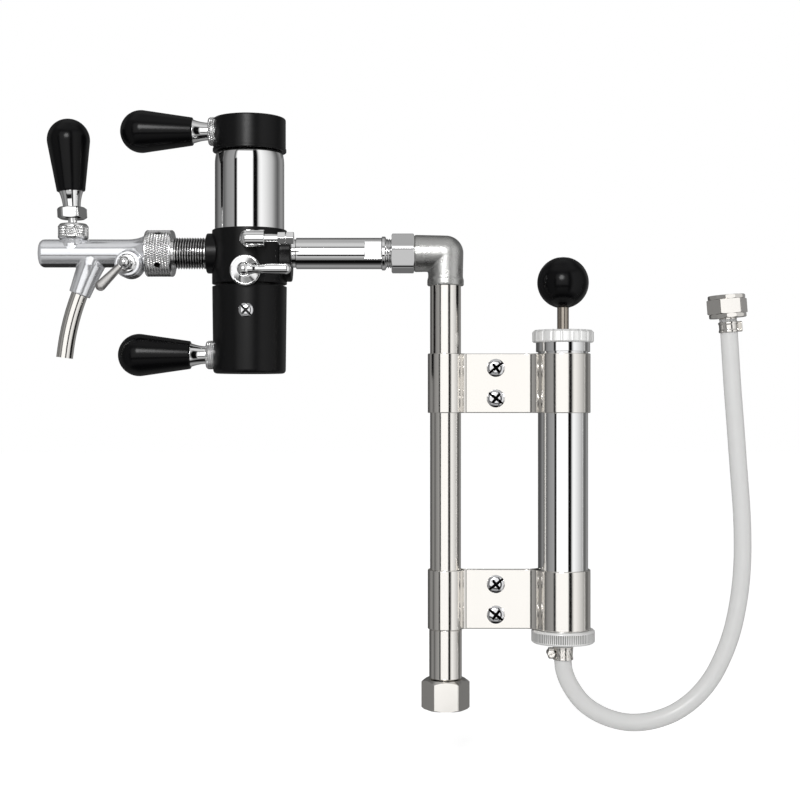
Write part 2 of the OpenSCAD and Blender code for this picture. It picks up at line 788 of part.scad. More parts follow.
module valve_block() {
  color("#242424")
    difference() {
      union() {
        translate([filler_x, 0, 0])
          turned()
            difference() {
              union() {
                rounded_band(block_r, block_foot_z, block_top_z, block_round);
                band(0, neck_r, neck_foot_z, block_foot_z + 1);
              }
              // The tip of the sleeve's screw runs in this groove
              band(neck_r - groove_depth, neck_r + 1,
                sleeve_screw_z - groove_half, sleeve_screw_z + groove_half);
            }
        to_left(filler_x, axis_z)
          side_boss();
        to_right(filler_x, axis_z)
          side_boss();
        to_right(filler_x, axis_z - boss_drop)
          side_boss();
        translate([filler_x, 0, axis_z - boss_drop])
          linear_extrude(boss_drop)
            polygon([[0, -boss_r], [boss_reach - boss_bevel, -boss_r],
              [boss_reach, -boss_r + boss_bevel], [boss_reach, boss_r - boss_bevel],
              [boss_reach - boss_bevel, boss_r], [0, boss_r]]);
      }
      // Seat of the head tube, bore of the plug and the way down to the bottle
      translate([filler_x, 0, 0])
        turned() {
          band(0, head_r + seat_gap, head_foot_z, block_top_z + 1);
          band(0, plug_r + run_gap, plug_foot_z, head_foot_z + 1);
          band(0, passage_r, neck_foot_z - 1, plug_foot_z + 1);
          band(0, nozzle_r + seat_gap, neck_foot_z - 1, neck_foot_z + nozzle_seat);
        }
      // Threads and passages of the inlet and of the tap
      to_right(filler_x, axis_z)
        cylinder(r = passage_r, h = boss_reach + 1, $fn = 64);
      to_left(filler_x, axis_z)
        cylinder(r = passage_r, h = boss_reach + 1, $fn = 64);
      to_right(inlet_face_x - boss_thread_l, axis_z)
        cylinder(r = inlet_thread_d / 2 + seat_gap, h = boss_thread_l + 1, $fn = 96);
      to_left(shank_face_x + boss_thread_l, axis_z)
        cylinder(r = shank_tail_r + seat_gap, h = boss_thread_l + 1, $fn = 96);
      // Seats of the vent and of the gas fitting
      to_front(filler_x, -vent_seat_y, vent_z)
        cylinder(r = vent_pad_r + seat_gap, h = block_r, $fn = 64);
      to_front(filler_x, -vent_seat_y + vent_thread_l, vent_z)
        cylinder(r = vent_thread_r + seat_gap, h = vent_thread_l + 1, $fn = 64);
      to_front(gas_stem_x, -gas_seat_y, gas_z)
        cylinder(r = gas_stem_r + seat_gap, h = block_r, $fn = 64);
    }
}

module head_tube() {
  color("whitesmoke")
    translate([filler_x, 0, 0])
      turned()
        difference() {
          union() {
            band(0, head_r, head_foot_z, head_shoulder_z);
            polygon([[0, head_shoulder_z], [head_r, head_shoulder_z], [head_top_r, head_top_z],
              [0, head_top_z]]);
          }
          band(0, head_r - head_wall, head_foot_z - 1, head_shoulder_z - head_wall);
          polygon([[0, head_shoulder_z - head_wall], [head_r - head_wall, head_shoulder_z - head_wall],
            [head_top_r - head_wall, head_top_z - 2 * head_wall], [0, head_top_z - 2 * head_wall]]);
          band(0, stem_r + run_gap, head_foot_z, head_top_z + 1);
        }
}

module selector_cap() {
  color("#1c1c1c")
    difference() {
      translate([filler_x, 0, 0])
        turned()
          difference() {
            union() {
              rounded_band(cap_r, cap_foot_z, cap_top_z, 1);
              band(0, cap_lip_r, cap_foot_z, cap_foot_z + cap_lip_h);
            }
            band(0, stem_r + seat_gap, cap_foot_z - 1, cap_top_z - 6);
          }
      // The handle's seat and its stud
      to_left(filler_x - cap_seat, cap_axis_z)
        cylinder(r = locknut_r + 0.3, h = cap_r, $fn = 64);
      to_left(filler_x - stem_r - 2, cap_axis_z)
        cylinder(r = stud_r + seat_gap, h = cap_r, $fn = 48);
    }
}

module selector_stem() {
  color("silver")
    difference() {
      translate([filler_x, 0, 0])
        turned() {
          band(0, stem_r, plug_top_z - 1, cap_top_z - 6.5);
          band(0, plug_r, plug_foot_z + free_gap, plug_top_z);
        }
      // The port that the flow takes to the tap, and the one down to the bottle
      to_right(filler_x - plug_r - 1, axis_z)
        cylinder(r = passage_r - 0.5, h = 2 * plug_r + 2, $fn = 48);
      translate([filler_x, 0, plug_foot_z - 1])
        cylinder(r = passage_r - 1, h = axis_z - plug_foot_z + 1, $fn = 48);
    }
}

module selector_locknut() {
  color("silver")
    to_left(filler_x - cap_seat, cap_axis_z)
      locknut();
}

module selector_ferrule() {
  color("whitesmoke")
    to_left(filler_x - cap_seat - locknut_h, cap_axis_z)
      ferrule(cap_seat + locknut_h - stem_r - 3);
}

module selector_grip() {
  color("#1c1c1c")
    to_left(filler_x - cap_seat - locknut_h - ferrule_l, cap_axis_z)
      grip();
}

// Bottle sleeve and its handle

module bottle_sleeve() {
  round_r = sleeve_foot_r - sleeve_round;
  color("#262626")
    difference() {
      translate([filler_x, 0, 0])
        turned()
          difference() {
            union() {
              polygon([[0, sleeve_foot_z + sleeve_round], [sleeve_foot_r, sleeve_foot_z + sleeve_round],
                [sleeve_r, sleeve_top_z], [0, sleeve_top_z]]);
              band(0, round_r, sleeve_foot_z, sleeve_top_z);
              translate([round_r, sleeve_foot_z + sleeve_round])
                circle(r = sleeve_round, $fn = 48);
            }
            band(0, mouth_r, sleeve_foot_z - 1, sleeve_top_z + 1);
            band(0, sleeve_bore_r, sleeve_step_z, sleeve_top_z + 1);
          }
      // The handle's seat and its stud
      to_left(filler_x - sleeve_seat, sleeve_axis_z)
        cylinder(r = locknut_r + 0.3, h = sleeve_r, $fn = 64);
      to_left(filler_x - mouth_r - 1.5, sleeve_axis_z)
        cylinder(r = stud_r + seat_gap, h = sleeve_r, $fn = 48);
      // The flat under the screw's head and the screw's hole
      to_front(filler_x, -sleeve_screw_y, sleeve_screw_z)
        cylinder(r = sleeve_screw_r + 0.3, h = sleeve_r, $fn = 48);
      to_front(filler_x, 0, sleeve_screw_z)
        cylinder(r = sleeve_screw_tip_r + seat_gap, h = sleeve_r, $fn = 48);
    }
}

module sleeve_locknut() {
  color("silver")
    to_left(filler_x - sleeve_seat, sleeve_axis_z)
      locknut();
}

module sleeve_ferrule() {
  color("whitesmoke")
    to_left(filler_x - sleeve_seat - locknut_h, sleeve_axis_z)
      ferrule(sleeve_seat + locknut_h - mouth_r - 2);
}

module sleeve_grip() {
  color("#1c1c1c")
    to_left(filler_x - sleeve_seat - locknut_h - ferrule_l, sleeve_axis_z)
      grip();
}

module sleeve_screw() {
  head_h = 2.4;
  dome_r = 7.5;
  slot_w = 1.3;
  tip_y = neck_r - groove_depth + free_gap;
  color("silver")
    difference() {
      union() {
        to_front(filler_x, -sleeve_screw_y, sleeve_screw_z)
          turned()
            intersection() {
              translate([0, head_h - dome_r])
                circle(r = dome_r, $fn = 96);
              band(0, sleeve_screw_r, 0, head_h);
            }
        to_front(filler_x, -tip_y, sleeve_screw_z)
          cylinder(r = sleeve_screw_tip_r, h = sleeve_screw_y - tip_y + 0.5, $fn = 48);
      }
      // The cross recess
      for (turn = [0, 90])
        to_front(filler_x, -sleeve_screw_y - 0.9, sleeve_screw_z)
          rotate([0, 0, turn + 45])
            translate([-sleeve_screw_r * 0.6, -slot_w / 2, 0])
              cube([sleeve_screw_r * 1.2, slot_w, head_h]);
    }
}

module bottle_gasket() {
  color("dimgray")
    translate([filler_x, 0, 0])
      turned()
        band(nozzle_r + seat_gap, mouth_r - 0.4, neck_foot_z - bottle_gasket_t, neck_foot_z);
}

module fill_nozzle() {
  tip_z = sleeve_step_z + 0.3;
  color("silver")
    translate([filler_x, 0, 0])
      turned()
        difference() {
          band(0, nozzle_r, tip_z, neck_foot_z + nozzle_seat);
          band(0, passage_r - 1, tip_z - 1, neck_foot_z + nozzle_seat + 1);
          polygon([[passage_r - 1.1, tip_z - 0.1], [passage_r + 0.4, tip_z - 0.1],
            [passage_r - 1.1, tip_z + 1.4]]);
        }
}

// Vent: a dished flange screwed into the block, and a lever that turns in it

module vent_flange() {
  color("gainsboro")
    to_front(filler_x, 0, vent_z)
      turned()
        difference() {
          union() {
            band(0, vent_thread_r, vent_seat_y - vent_thread_l, vent_back_y);
            band(0, vent_pad_r, vent_seat_y, vent_back_y + 1);
            polygon([[0, vent_back_y], [vent_flange_r - 0.8, vent_back_y],
              [vent_flange_r, vent_back_y + 0.8], [vent_flange_r, vent_front_y - 0.4],
              [vent_flange_r - 0.4, vent_front_y], [0, vent_front_y]]);
          }
          polygon([[0, vent_front_y - vent_dish], [vent_hub_r, vent_front_y - vent_dish],
            [vent_flange_r - 1.6, vent_front_y + 0.1], [0, vent_front_y + 0.1]]);
          band(0, vent_spindle_r + run_gap, 0, vent_front_y + 1);
        }
}

module vent_lever() {
  hub_y = vent_front_y - vent_dish + free_gap;
  bar_y = vent_front_y + 4.6;
  bar_r = vent_bar_t / 2;
  neck_y = bar_y + bar_r;
  color("gainsboro")
    difference() {
      union() {
        to_front(filler_x, 0, vent_z)
          turned() {
            band(0, vent_spindle_r, vent_seat_y - vent_thread_l + 1, hub_y + 1);
            polygon([[0, hub_y], [vent_hub_r - 0.3, hub_y], [vent_hub_r, hub_y + 0.3],
              [vent_hub_r, neck_y], [0, neck_y]]);
            translate([0, neck_y])
              intersection() {
                circle(r = vent_hub_r, $fn = 96);
                band(0, vent_hub_r + 1, 0, vent_hub_r + 1);
              }
          }
        // The bar, waisted beside the hub and round at its end
        translate([filler_x, -neck_y, vent_z])
          rotate([0, 90, 0])
            turned()
              difference() {
                union() {
                  band(0, bar_r, 0, vent_reach - bar_r);
                  intersection() {
                    translate([0, vent_reach - bar_r])
                      circle(r = bar_r, $fn = 96);
                    band(0, bar_r, vent_reach - bar_r - 1, vent_reach + 1);
                  }
                }
                translate([bar_r + 6.4, vent_hub_r + 4.6])
                  circle(r = 7.3, $fn = 96);
              }
      }
    }
}

// Gas fitting: a stem in the block, a round-ended body and a hexagon with a barbless bore

module gas_elbow() {
  gas_way_r = 1.5;
  hex_x = gas_stem_x + gas_body_l + gas_neck_l;
  end_x = hex_x + gas_hex_l;
  color("gainsboro")
    difference() {
      union() {
        translate([0, -gas_front, 0]) {
          translate([gas_stem_x, 0, gas_z])
            sphere(r = gas_r, $fn = 96);
          to_right(gas_stem_x, gas_z) {
            cylinder(r = gas_r, h = gas_body_l, $fn = 96);
            cylinder(r = gas_neck_r, h = gas_body_l + gas_neck_l + 1, $fn = 64);
          }
          // The hexagon, with a groove round its middle
          to_right(hex_x, gas_z)
            difference() {
              rotate([0, 0, 30])
                hex_bar(gas_hex_af, gas_hex_l);
              turned()
                band(gas_hex_af / 2 - 0.6, gas_hex_af, gas_hex_l / 2 - 0.35, gas_hex_l / 2 + 0.35);
            }
        }
        to_front(gas_stem_x, -gas_seat_y, gas_z)
          cylinder(r = gas_stem_r, h = gas_front - gas_seat_y, $fn = 64);
      }
      translate([0, -gas_front, 0]) {
        to_right(gas_stem_x, gas_z)
          cylinder(r = gas_way_r, h = end_x - gas_stem_x, $fn = 48);
        to_right(end_x - gas_bore_l, gas_z)
          cylinder(r = gas_bore_r, h = gas_bore_l + 1, $fn = 64);
      }
      to_front(gas_stem_x, -gas_seat_y + 1, gas_z)
        cylinder(r = gas_way_r, h = gas_front - gas_seat_y + 1, $fn = 48);
    }
}

// Tap: shank, coupling nut, body with its nozzle, spout and handle

module tap_shank() {
  color("gainsboro")
    to_left(shank_face_x + boss_thread_l - 0.5, axis_z)
      turned()
        difference() {
          run = boss_thread_l - 0.5;
          union() {
            band(0, shank_tail_r, 0, run + 1);
            band(0, shank_r, run, run + shank_l + nut_lip_t);
            band(0, shank_r + 2.4, run + shank_l + nut_lip_t, run + shank_l + nut_lip_t + shank_flange_t);
          }
          band(0, shank_bore_r, -1, run + shank_l + nut_l);
        }
}

module coupling_nut() {
  color("gainsboro")
    difference() {
      to_left(nut_x, axis_z)
        turned()
          difference() {
            polygon([[0, 0], [nut_r - 0.8, 0], [nut_r, 0.8], [nut_r, nut_l - 0.8],
              [nut_r - 0.8, nut_l], [0, nut_l]]);
            band(0, shank_r + seat_gap, -1, nut_l + 1);
            band(0, tap_thread_r + seat_gap, nut_lip_t, nut_l + 1);
          }
      // Four holes for a hook wrench
      for (turn = [hook_turn:90:hook_turn + 270])
        translate([nut_x - nut_l / 2, 0, axis_z])
          rotate([turn, 0, 0])
            translate([0, 0, tap_thread_r + 0.7])
              cylinder(r = 2, h = nut_r, $fn = 32);
    }
}

module tap_body() {
  far = nut_face_x - barrel_end_x;
  back = nut_face_x - tap_seat_x;
  spigot_r = bonnet_bore_r - seat_gap;
  nozzle_l = nozzle_drop / cos(nozzle_tilt);
  color("gainsboro")
    difference() {
      union() {
        // The barrel and the flare that leads into the thread, from the nut's face outward
        to_left(nut_face_x, axis_z)
          turned() {
            band(0, tap_thread_r, back, 1.2);
            polygon([[0, 1], [tap_thread_r, 1], [tap_thread_r - 1.2, -0.6], [11.5, 3.6], [10.3, 8.1],
              [barrel_r, 16], [0, 16]]);
            rounded_band(barrel_r, 15, far, barrel_round);
          }
        // The neck under the bonnet
        translate([pivot_x, 0, 0])
          turned() {
            polygon([[0, axis_z], [9.2, axis_z], [9, axis_z + 7], [7.75, bonnet_foot_z],
              [0, bonnet_foot_z]]);
            band(0, spigot_r, bonnet_foot_z, pivot_z + 2.4);
          }
        // The nozzle
        translate([nozzle_x, 0, nozzle_z])
          rotate([0, nozzle_tilt, 0])
            turned()
              polygon([[0, 0], [nozzle_tip_r - 0.5, 0], [nozzle_tip_r, 0.5],
                [nozzle_root_r, nozzle_l - barrel_r], [nozzle_root_r, nozzle_l], [0, nozzle_l]]);
        // The boss of the flow control
        to_front(flow_x, 0, flow_z)
          turned() {
            band(0, flow_boss_r, -1.8, flow_boss_y - 3);
            band(0, flow_boss_r - 0.9, -1.8, flow_boss_y);
          }
      }
      // The bore, narrowed at the valve seat
      to_left(tap_seat_x + 1, axis_z)
        cylinder(r = barrel_bore_r, h = tap_seat_x + 1 - valve_seat_x, $fn = 96);
      to_left(valve_seat_x + 1, axis_z)
        cylinder(r = barrel_bore_r - 1.5, h = 6, $fn = 96);
      to_left(valve_seat_x - 3, axis_z)
        cylinder(r = barrel_bore_r, h = valve_seat_x - 3 - barrel_end_x - 4, $fn = 96);
      // The handle's way in, and the spherical seat of its ball
      translate([pivot_x, 0, axis_z])
        cylinder(r = tap_ball_r - 0.65, h = pivot_rise + 1, $fn = 64);
      translate([pivot_x, 0, pivot_z - 2.8])
        cylinder(r = tap_ball_r + run_gap, h = 8, $fn = 64);
      // The nozzle's passage and the spout's socket
      translate([nozzle_x, 0, nozzle_z])
        rotate([0, nozzle_tilt, 0]) {
          translate([0, 0, -1])
            cylinder(r = spout_r - spout_wall, h = nozzle_l, $fn = 64);
          translate([0, 0, -1])
            cylinder(r = spout_r + seat_gap, h = spout_socket + 1, $fn = 64);
        }
      // The pocket of the flow control's crank and the seat of its bush
      to_front(flow_x, 0, flow_z) {
        translate([0, 0, 0.2])
          cylinder(r = flow_throw + 1.7, h = flow_boss_y, $fn = 64);
        translate([0, 0, flow_boss_y - 7])
          cylinder(r = flow_bush_r - 0.9, h = 8, $fn = 64);
      }
    }
}

// The spout's solid outline at one radius, lying with its bend's centre at the origin
module spout_rod(r, past) {
  turn = nozzle_tilt - spout_end_tilt;
  // Bending draws the tube in by a hair, and the straight lengths lap over the bend
  draw = 0.03;
  lap = 0.3;
  rotate_extrude(angle = turn, $fn = 360)
    translate([spout_bend, 0])
      circle(r = r - draw, $fn = 64);
  translate([spout_bend, lap, 0])
    rotate([90, 0, 0])
      cylinder(r = r, h = spout_socket - 0.3 + lap + past, $fn = 64);
  rotate([0, 0, turn])
    translate([spout_bend, -lap, 0])
      rotate([-90, 0, 0])
        cylinder(r = r, h = spout_end_l + lap + past, $fn = 64);
}

module tap_spout() {
  color("silver")
    translate([nozzle_x, 0, nozzle_z])
      rotate([0, nozzle_tilt, 0])
        translate([spout_bend, 0, 0])
          rotate([90, 0, 0])
            rotate([0, 0, 180])
              difference() {
                spout_rod(spout_r, 0);
                spout_rod(spout_r - spout_wall, 1);
              }
}

module tap_bonnet() {
  lip_z = pivot_z + 2.9;
  top_z = bonnet_foot_z + bonnet_h;
  color("gainsboro")
    translate([pivot_x, 0, 0])
      turned()
        difference() {
          polygon([[0, bonnet_foot_z], [bonnet_r - 0.5, bonnet_foot_z], [bonnet_r, bonnet_foot_z + 0.5],
            [bonnet_r, top_z - 1.6], [bonnet_r - 1.6, top_z], [0, top_z]]);
          band(0, bonnet_bore_r, bonnet_foot_z - 1, lip_z - 0.3);
          band(0, tap_ball_r - 0.6, bonnet_foot_z, lip_z + 1);
          polygon([[0, lip_z + 0.6], [tap_ball_r - 0.6, lip_z + 0.6], [8, top_z + 0.1], [0, top_z + 0.1]]);
        }
}

// The tap's handle stands on its ball's centre and leans to the left
module on_pivot(rise) {
  translate([pivot_x, 0, pivot_z])
    rotate([0, -tap_lean, 0])
      translate([0, 0, rise])
        children();
}

module tap_lever() {
  tail_r = 2.2;
  color("silver")
    on_pivot(0)
      turned() {
        intersection() {
          circle(r = tap_ball_r, $fn = 96);
          band(0, tap_ball_r, -tap_ball_r, tap_ball_r);
        }
        band(0, tap_stem_r, 0, tap_locknut_rise);
        band(0, tail_r, -pivot_rise, 0);
        intersection() {
          translate([0, -pivot_rise])
            circle(r = tail_r + 0.2, $fn = 64);
          band(0, tail_r + 0.2, -pivot_rise - tail_r - 0.2, -pivot_rise + tail_r);
        }
      }
}

module tap_locknut() {
  color("silver")
    on_pivot(tap_locknut_rise)
      difference() {
        hex_bar(tap_locknut_af, tap_locknut_h);
        translate([0, 0, -1])
          cylinder(r = stud_r + seat_gap, h = tap_locknut_h + 2, $fn = 48);
      }
}

module tap_ferrule() {
  color("whitesmoke")
    on_pivot(tap_locknut_rise + tap_locknut_h)
      ferrule(tap_locknut_h);
}

module tap_grip() {
  color("#1c1c1c")
    on_pivot(tap_locknut_rise + tap_locknut_h + ferrule_l)
      grip();
}

// The plunger that the handle's tail moves, with its seal behind the valve seat
module tap_plunger() {
  guide_l = 13;
  slot = 3;
  color("silver")
    difference() {
      to_right(pivot_x - guide_l / 2, axis_z)
        turned() {
          band(0, barrel_bore_r - run_gap, 0, guide_l);
          band(0, 1.8, guide_l - 1, valve_seat_x - pivot_x + guide_l / 2 + 2);
          band(0, barrel_bore_r - 0.5, valve_seat_x - pivot_x + guide_l / 2 + free_gap,
            valve_seat_x - pivot_x + guide_l / 2 + 4);
        }
      translate([pivot_x, slot, axis_z])
        rotate([90, 0, 0])
          linear_extrude(2 * slot)
            polygon([[-slot, -3.4], [slot, -3.4], [slot, 1], [slot + 2.4, 8], [-slot - 2.4, 8], [-slot, 1]]);
    }
}

// Flow control: a bush in the boss, a lever with a crank pin, and the cone that it shifts

module flow_bush() {
  color("gainsboro")
    to_front(flow_x, 0, flow_z)
      turned()
        difference() {
          union() {
            band(0, flow_bush_r - 0.9 - seat_gap, flow_boss_y - 7, flow_boss_y + 0.5);
            polygon([[0, flow_boss_y], [flow_bush_r, flow_boss_y], [flow_bush_r, flow_boss_y + 1.6],
              [flow_bush_r - 1, flow_boss_y + 2.6], [0, flow_boss_y + 2.6]]);
          }
          band(0, flow_spindle_r + run_gap, 0, flow_boss_y + 4);
        }
}

module flow_lever() {
  blade_t = 2.4;
  pin_r = 1.2;
  root_w = 4.5;
  color("gainsboro") {
    to_front(flow_x, 0, flow_z) {
      turned() {
        band(0, flow_spindle_r, flow_boss_y - 9, flow_hub_y);
        band(0, flow_throw + 1.3, flow_boss_y - 9.5, flow_boss_y - 7.5);
        intersection() {
          translate([0, flow_hub_y])
            circle(r = flow_hub_r, $fn = 96);
          band(0, flow_hub_r, flow_hub_y - flow_hub_r, flow_hub_y + flow_hub_r);
        }
      }
      // The crank pin reaches up into the cone's groove
      translate([0, flow_throw, 0.6])
        cylinder(r = pin_r, h = flow_boss_y - 8.6, $fn = 32);
      // The blade, wider toward its round end
      rotate([0, 0, -135])
        translate([0, 0, flow_hub_y - blade_t / 2])
          linear_extrude(blade_t) {
            polygon([[0, -root_w / 2], [flow_blade_l - flow_blade_w / 2, -flow_blade_w / 2],
              [flow_blade_l - flow_blade_w / 2, flow_blade_w / 2], [0, root_w / 2]]);
            translate([flow_blade_l - flow_blade_w / 2, 0])
              circle(d = flow_blade_w, $fn = 64);
          }
    }
  }
}

module flow_cone() {
  groove = 1.75;
  disc_r = barrel_bore_r - 0.5;
  color("silver")
    to_left(flow_x + groove + 1.6, axis_z)
      turned() {
        band(0, disc_r, 0, 1.6);
        band(0, 2, 0, 2 * groove + 3.2);
        polygon([[0, 2 * groove + 1.6], [disc_r, 2 * groove + 1.6], [disc_r, 2 * groove + 3.2],
          [2.2, 2 * groove + 7.5], [0, 2 * groove + 7.5]]);
      }
}

// Pump: barrel, cap, base and the plunger

module on_pump(z) {
  translate([pump_reach, 0, z])
    children();
}

module pump_barrel() {
  color("gainsboro")
    on_pump(0)
      turned()
        band(pump_bore_r, pump_r, pump_foot_z, rim_z + 4);
}

module pump_cap() {
  flute_r = 1.6;
  color("gainsboro")
    on_pump(0)
      difference() {
        turned()
          difference() {
            union() {
              band(0, skirt_r, skirt_z, rim_z + 1);
              polygon([[0, rim_z], [pump_cap_r - 0.8, rim_z], [pump_cap_r, rim_z + 0.8],
                [pump_cap_r, pump_top_z - 1.5], [pump_cap_r - 1.5, pump_top_z], [0, pump_top_z]]);
            }
            band(0, pump_r + seat_gap, skirt_z - 1, rim_z + 4);
            band(0, bush_r + seat_gap, rim_z, pump_top_z + 1);
          }
        for (i = [0:cap_flutes - 1])
          rotate([0, 0, (i + 0.5) * 360 / cap_flutes])
            translate([pump_cap_r + flute_r - 0.5, 0, rim_z - 1])
              cylinder(r = flute_r, h = pump_cap_h + 2, $fn = 32);
      }
}

module rod_bush() {
  color("#303030")
    on_pump(0)
      turned()
        difference() {
          union() {
            band(0, bush_r, rim_z + 1, pump_top_z);
            band(0, bush_r + 3, rim_z + 1, rim_z + 4);
          }
          band(0, rod_r + run_gap, rim_z, pump_top_z + 1);
        }
}

module pump_rod() {
  color("silver")
    on_pump(0)
      turned() {
        band(0, rod_r, rod_shoulder_z, knob_z - 4);
        band(0, rod_r - 1, piston_nut_z, rod_shoulder_z + 1);
      }
}

module pump_knob() {
  color("#1c1c1c")
    on_pump(0)
      turned()
        difference() {
          intersection() {
            translate([0, knob_z])
              circle(r = knob_r, $fn = 96);
            band(0, knob_r, knob_z - knob_r + 0.4, knob_z + knob_r);
          }
          band(0, rod_r + seat_gap, knob_z - knob_r - 1, knob_z - 4);
        }
}

module piston() {
  color("#303030")
    on_pump(0)
      turned()
        difference() {
          union() {
            band(0, pump_bore_r - 0.4, piston_z, rod_shoulder_z - 2);
            band(0, pump_bore_r - 4, piston_z, rod_shoulder_z);
          }
          band(0, rod_r - 1 + seat_gap, piston_z - 1, rod_shoulder_z + 1);
        }
}

module piston_cup() {
  color("dimgray")
    on_pump(0)
      turned()
        difference() {
          band(0, pump_bore_r - run_gap, cup_z, piston_z);
          polygon([[piston_nut_r + 1, cup_z - 1], [pump_bore_r - run_gap - 0.6, cup_z - 1],
            [pump_bore_r - run_gap - cup_t, piston_z - cup_t], [piston_nut_r + 1, piston_z - cup_t]]);
          band(0, rod_r - 1 + seat_gap, cup_z - 1, piston_z + 1);
        }
}

module piston_nut() {
  color("silver")
    on_pump(piston_nut_z)
      difference() {
        hex_bar(2 * piston_nut_r * cos(30), piston_nut_h);
        translate([0, 0, -1])
          cylinder(r = rod_r - 1 + seat_gap, h = piston_nut_h + 2, $fn = 48);
      }
}

module pump_base() {
  color("gainsboro")
    on_pump(0)
      turned()
        difference() {
          polygon([[0, pump_z], [base_r - 1, pump_z], [base_r, pump_z + 1], [base_r, pump_z + base_h - 1],
            [base_r - 1, pump_z + base_h], [0, pump_z + base_h]]);
          band(0, pump_r + seat_gap, pump_foot_z, pump_z + base_h + 1);
          band(0, barb_thread_r + seat_gap, pump_z - 1, pump_foot_z + 1);
        }
}

// A rubber duckbill that lets air out of the pump and none back
module check_valve() {
  flange_t = 1.2;
  color("dimgray")
    on_pump(0)
      turned()
        difference() {
          union() {
            band(0, barb_thread_r - 0.1, pump_foot_z - flange_t, pump_foot_z);
            polygon([[0, pump_foot_z - 7], [0.9, pump_foot_z - 7], [barb_bore_r - 0.1, pump_foot_z - 3],
              [barb_bore_r - 0.1, pump_foot_z], [0, pump_foot_z]]);
          }
          polygon([[0, pump_foot_z - 6], [barb_bore_r - 1, pump_foot_z - 3], [barb_bore_r - 1, pump_foot_z + 1],
            [0, pump_foot_z + 1]]);
        }
}

// Half profile of a hose barb that runs down from its shoulder at z
module barbs(z, depth) {
  tooth = 0.25;
  core_r = hose_bore / 2 - seat_gap;
  foot = z - depth;
  polygon(concat([[barb_bore_r, z + 0.3], [barb_bore_r, foot], [core_r, foot]],
    [for (i = [1:3])
      each [[core_r, foot + 4 * i - 3], [core_r + tooth, foot + 4 * i], [core_r, foot + 4 * i]]],
    [[core_r, z + 0.3]]));
}

module pump_barb() {
  color("silver")
    on_pump(0)
      turned() {
        band(barb_bore_r, barb_thread_r, hose_start_z + 0.1, pump_foot_z - 1.2);
        band(barb_bore_r, hose_d / 2, hose_start_z, pump_z);
        barbs(hose_start_z, 13);
      }
}

// A band clamp with its worm housing to the left
module hose_clamp() {
  band_r = hose_d / 2 + seat_gap;
  clamp_z = hose_start_z - 2.1 - band_w;
  color("silver")
    on_pump(clamp_z)
      difference() {
        union() {
          cylinder(r = band_r + band_t, h = band_w, $fn = 64);
          translate([-band_r - 4.2, -3.4, 0.8])
            cube([4.2, 6.8, band_w - 1.6]);
          to_front(-band_r - 2.4, 5.2, band_w / 2)
            cylinder(r = 2.7, h = 10.4, $fn = 48);
        }
        translate([0, 0, -1])
          cylinder(r = band_r, h = band_w + 2, $fn = 64);
      }
}

// Hose and what is on its far end

// Direction of the hose at one of its points, and a ring of its surface there
function hose_dir(i) =
  let (a = HOSE[max(i - 1, 0)], b = HOSE[min(i + 1, len(HOSE) - 1)])
  (b - a) / norm(b - a);
function hose_ring(i, r) =
  let (d = i == 0 ? [0, -1] : (i == len(HOSE) - 1 ? [-sin(hose_lean), cos(hose_lean)] : hose_dir(i)))
  [for (k = [0:hose_sides - 1])
    let (a = (k + 0.5) * 360 / hose_sides)
    [HOSE[i][0] + r * cos(a) * d[1], r * sin(a), HOSE[i][1] - r * cos(a) * d[0]]];

module hose() {
  n = len(HOSE);
  s = hose_sides;
  bore_r = hose_bore / 2 / cos(180 / s);
  points = concat([for (i = [0:n - 1]) each hose_ring(i, hose_d / 2)],
    [for (i = [0:n - 1]) each hose_ring(i, bore_r)]);
  inner = n * s;
  last = (n - 1) * s;
  sides = [for (i = [0:n - 2], k = [0:s - 1])
    let (a = i * s + k, b = i * s + (k + 1) % s)
    each [[a, a + s, b + s, b], [inner + a, inner + b, inner + b + s, inner + a + s]]];
  ends = [for (k = [0:s - 1])
    let (j = (k + 1) % s)
    each [[k, j, inner + j, inner + k], [last + j, last + k, inner + last + k, inner + last + j]]];
  color("#e8e8e4")
    polyhedron(points = points, faces = concat(sides, ends), convexity = 6);
}

// The pieces on the hose's far end stand on its last point and lean with it
module on_hose_end(rise) {
  translate([hose_end[0], 0, hose_end[1]])
    rotate([0, -hose_lean, 0])
      translate([0, 0, rise])
        children();
}

module far_clamp() {
  band_r = hose_d / 2 + seat_gap;
  color("silver")
    on_hose_end(-1.8 - crimp_w)
      difference() {
        union() {
          cylinder(r = band_r + band_t - 0.15, h = crimp_w, $fn = 64);
          translate([band_r, -2.2, 0])
            cube([3.2, 4.4, crimp_w]);
        }
        translate([0, 0, -1])
          cylinder(r = band_r, h = crimp_w + 2, $fn = 64);
        translate([band_r + band_t, -1.2, -1])
          cube([1.2, 2.4, crimp_w + 2]);
      }
}

module hose_tail() {
  flange_z = nut_foot + nut_floor_t + free_gap;
  color("gainsboro")
    on_hose_end(0)
      turned() {
        band(barb_bore_r, hose_d / 2, 0, nut_foot - free_gap);
        band(barb_bore_r, tail_neck_r, 0, flange_z + tail_flange_t);
        band(barb_bore_r, hose_thread_r - 0.5, flange_z, flange_z + tail_flange_t);
        barbs(0, tail_depth);
      }
}

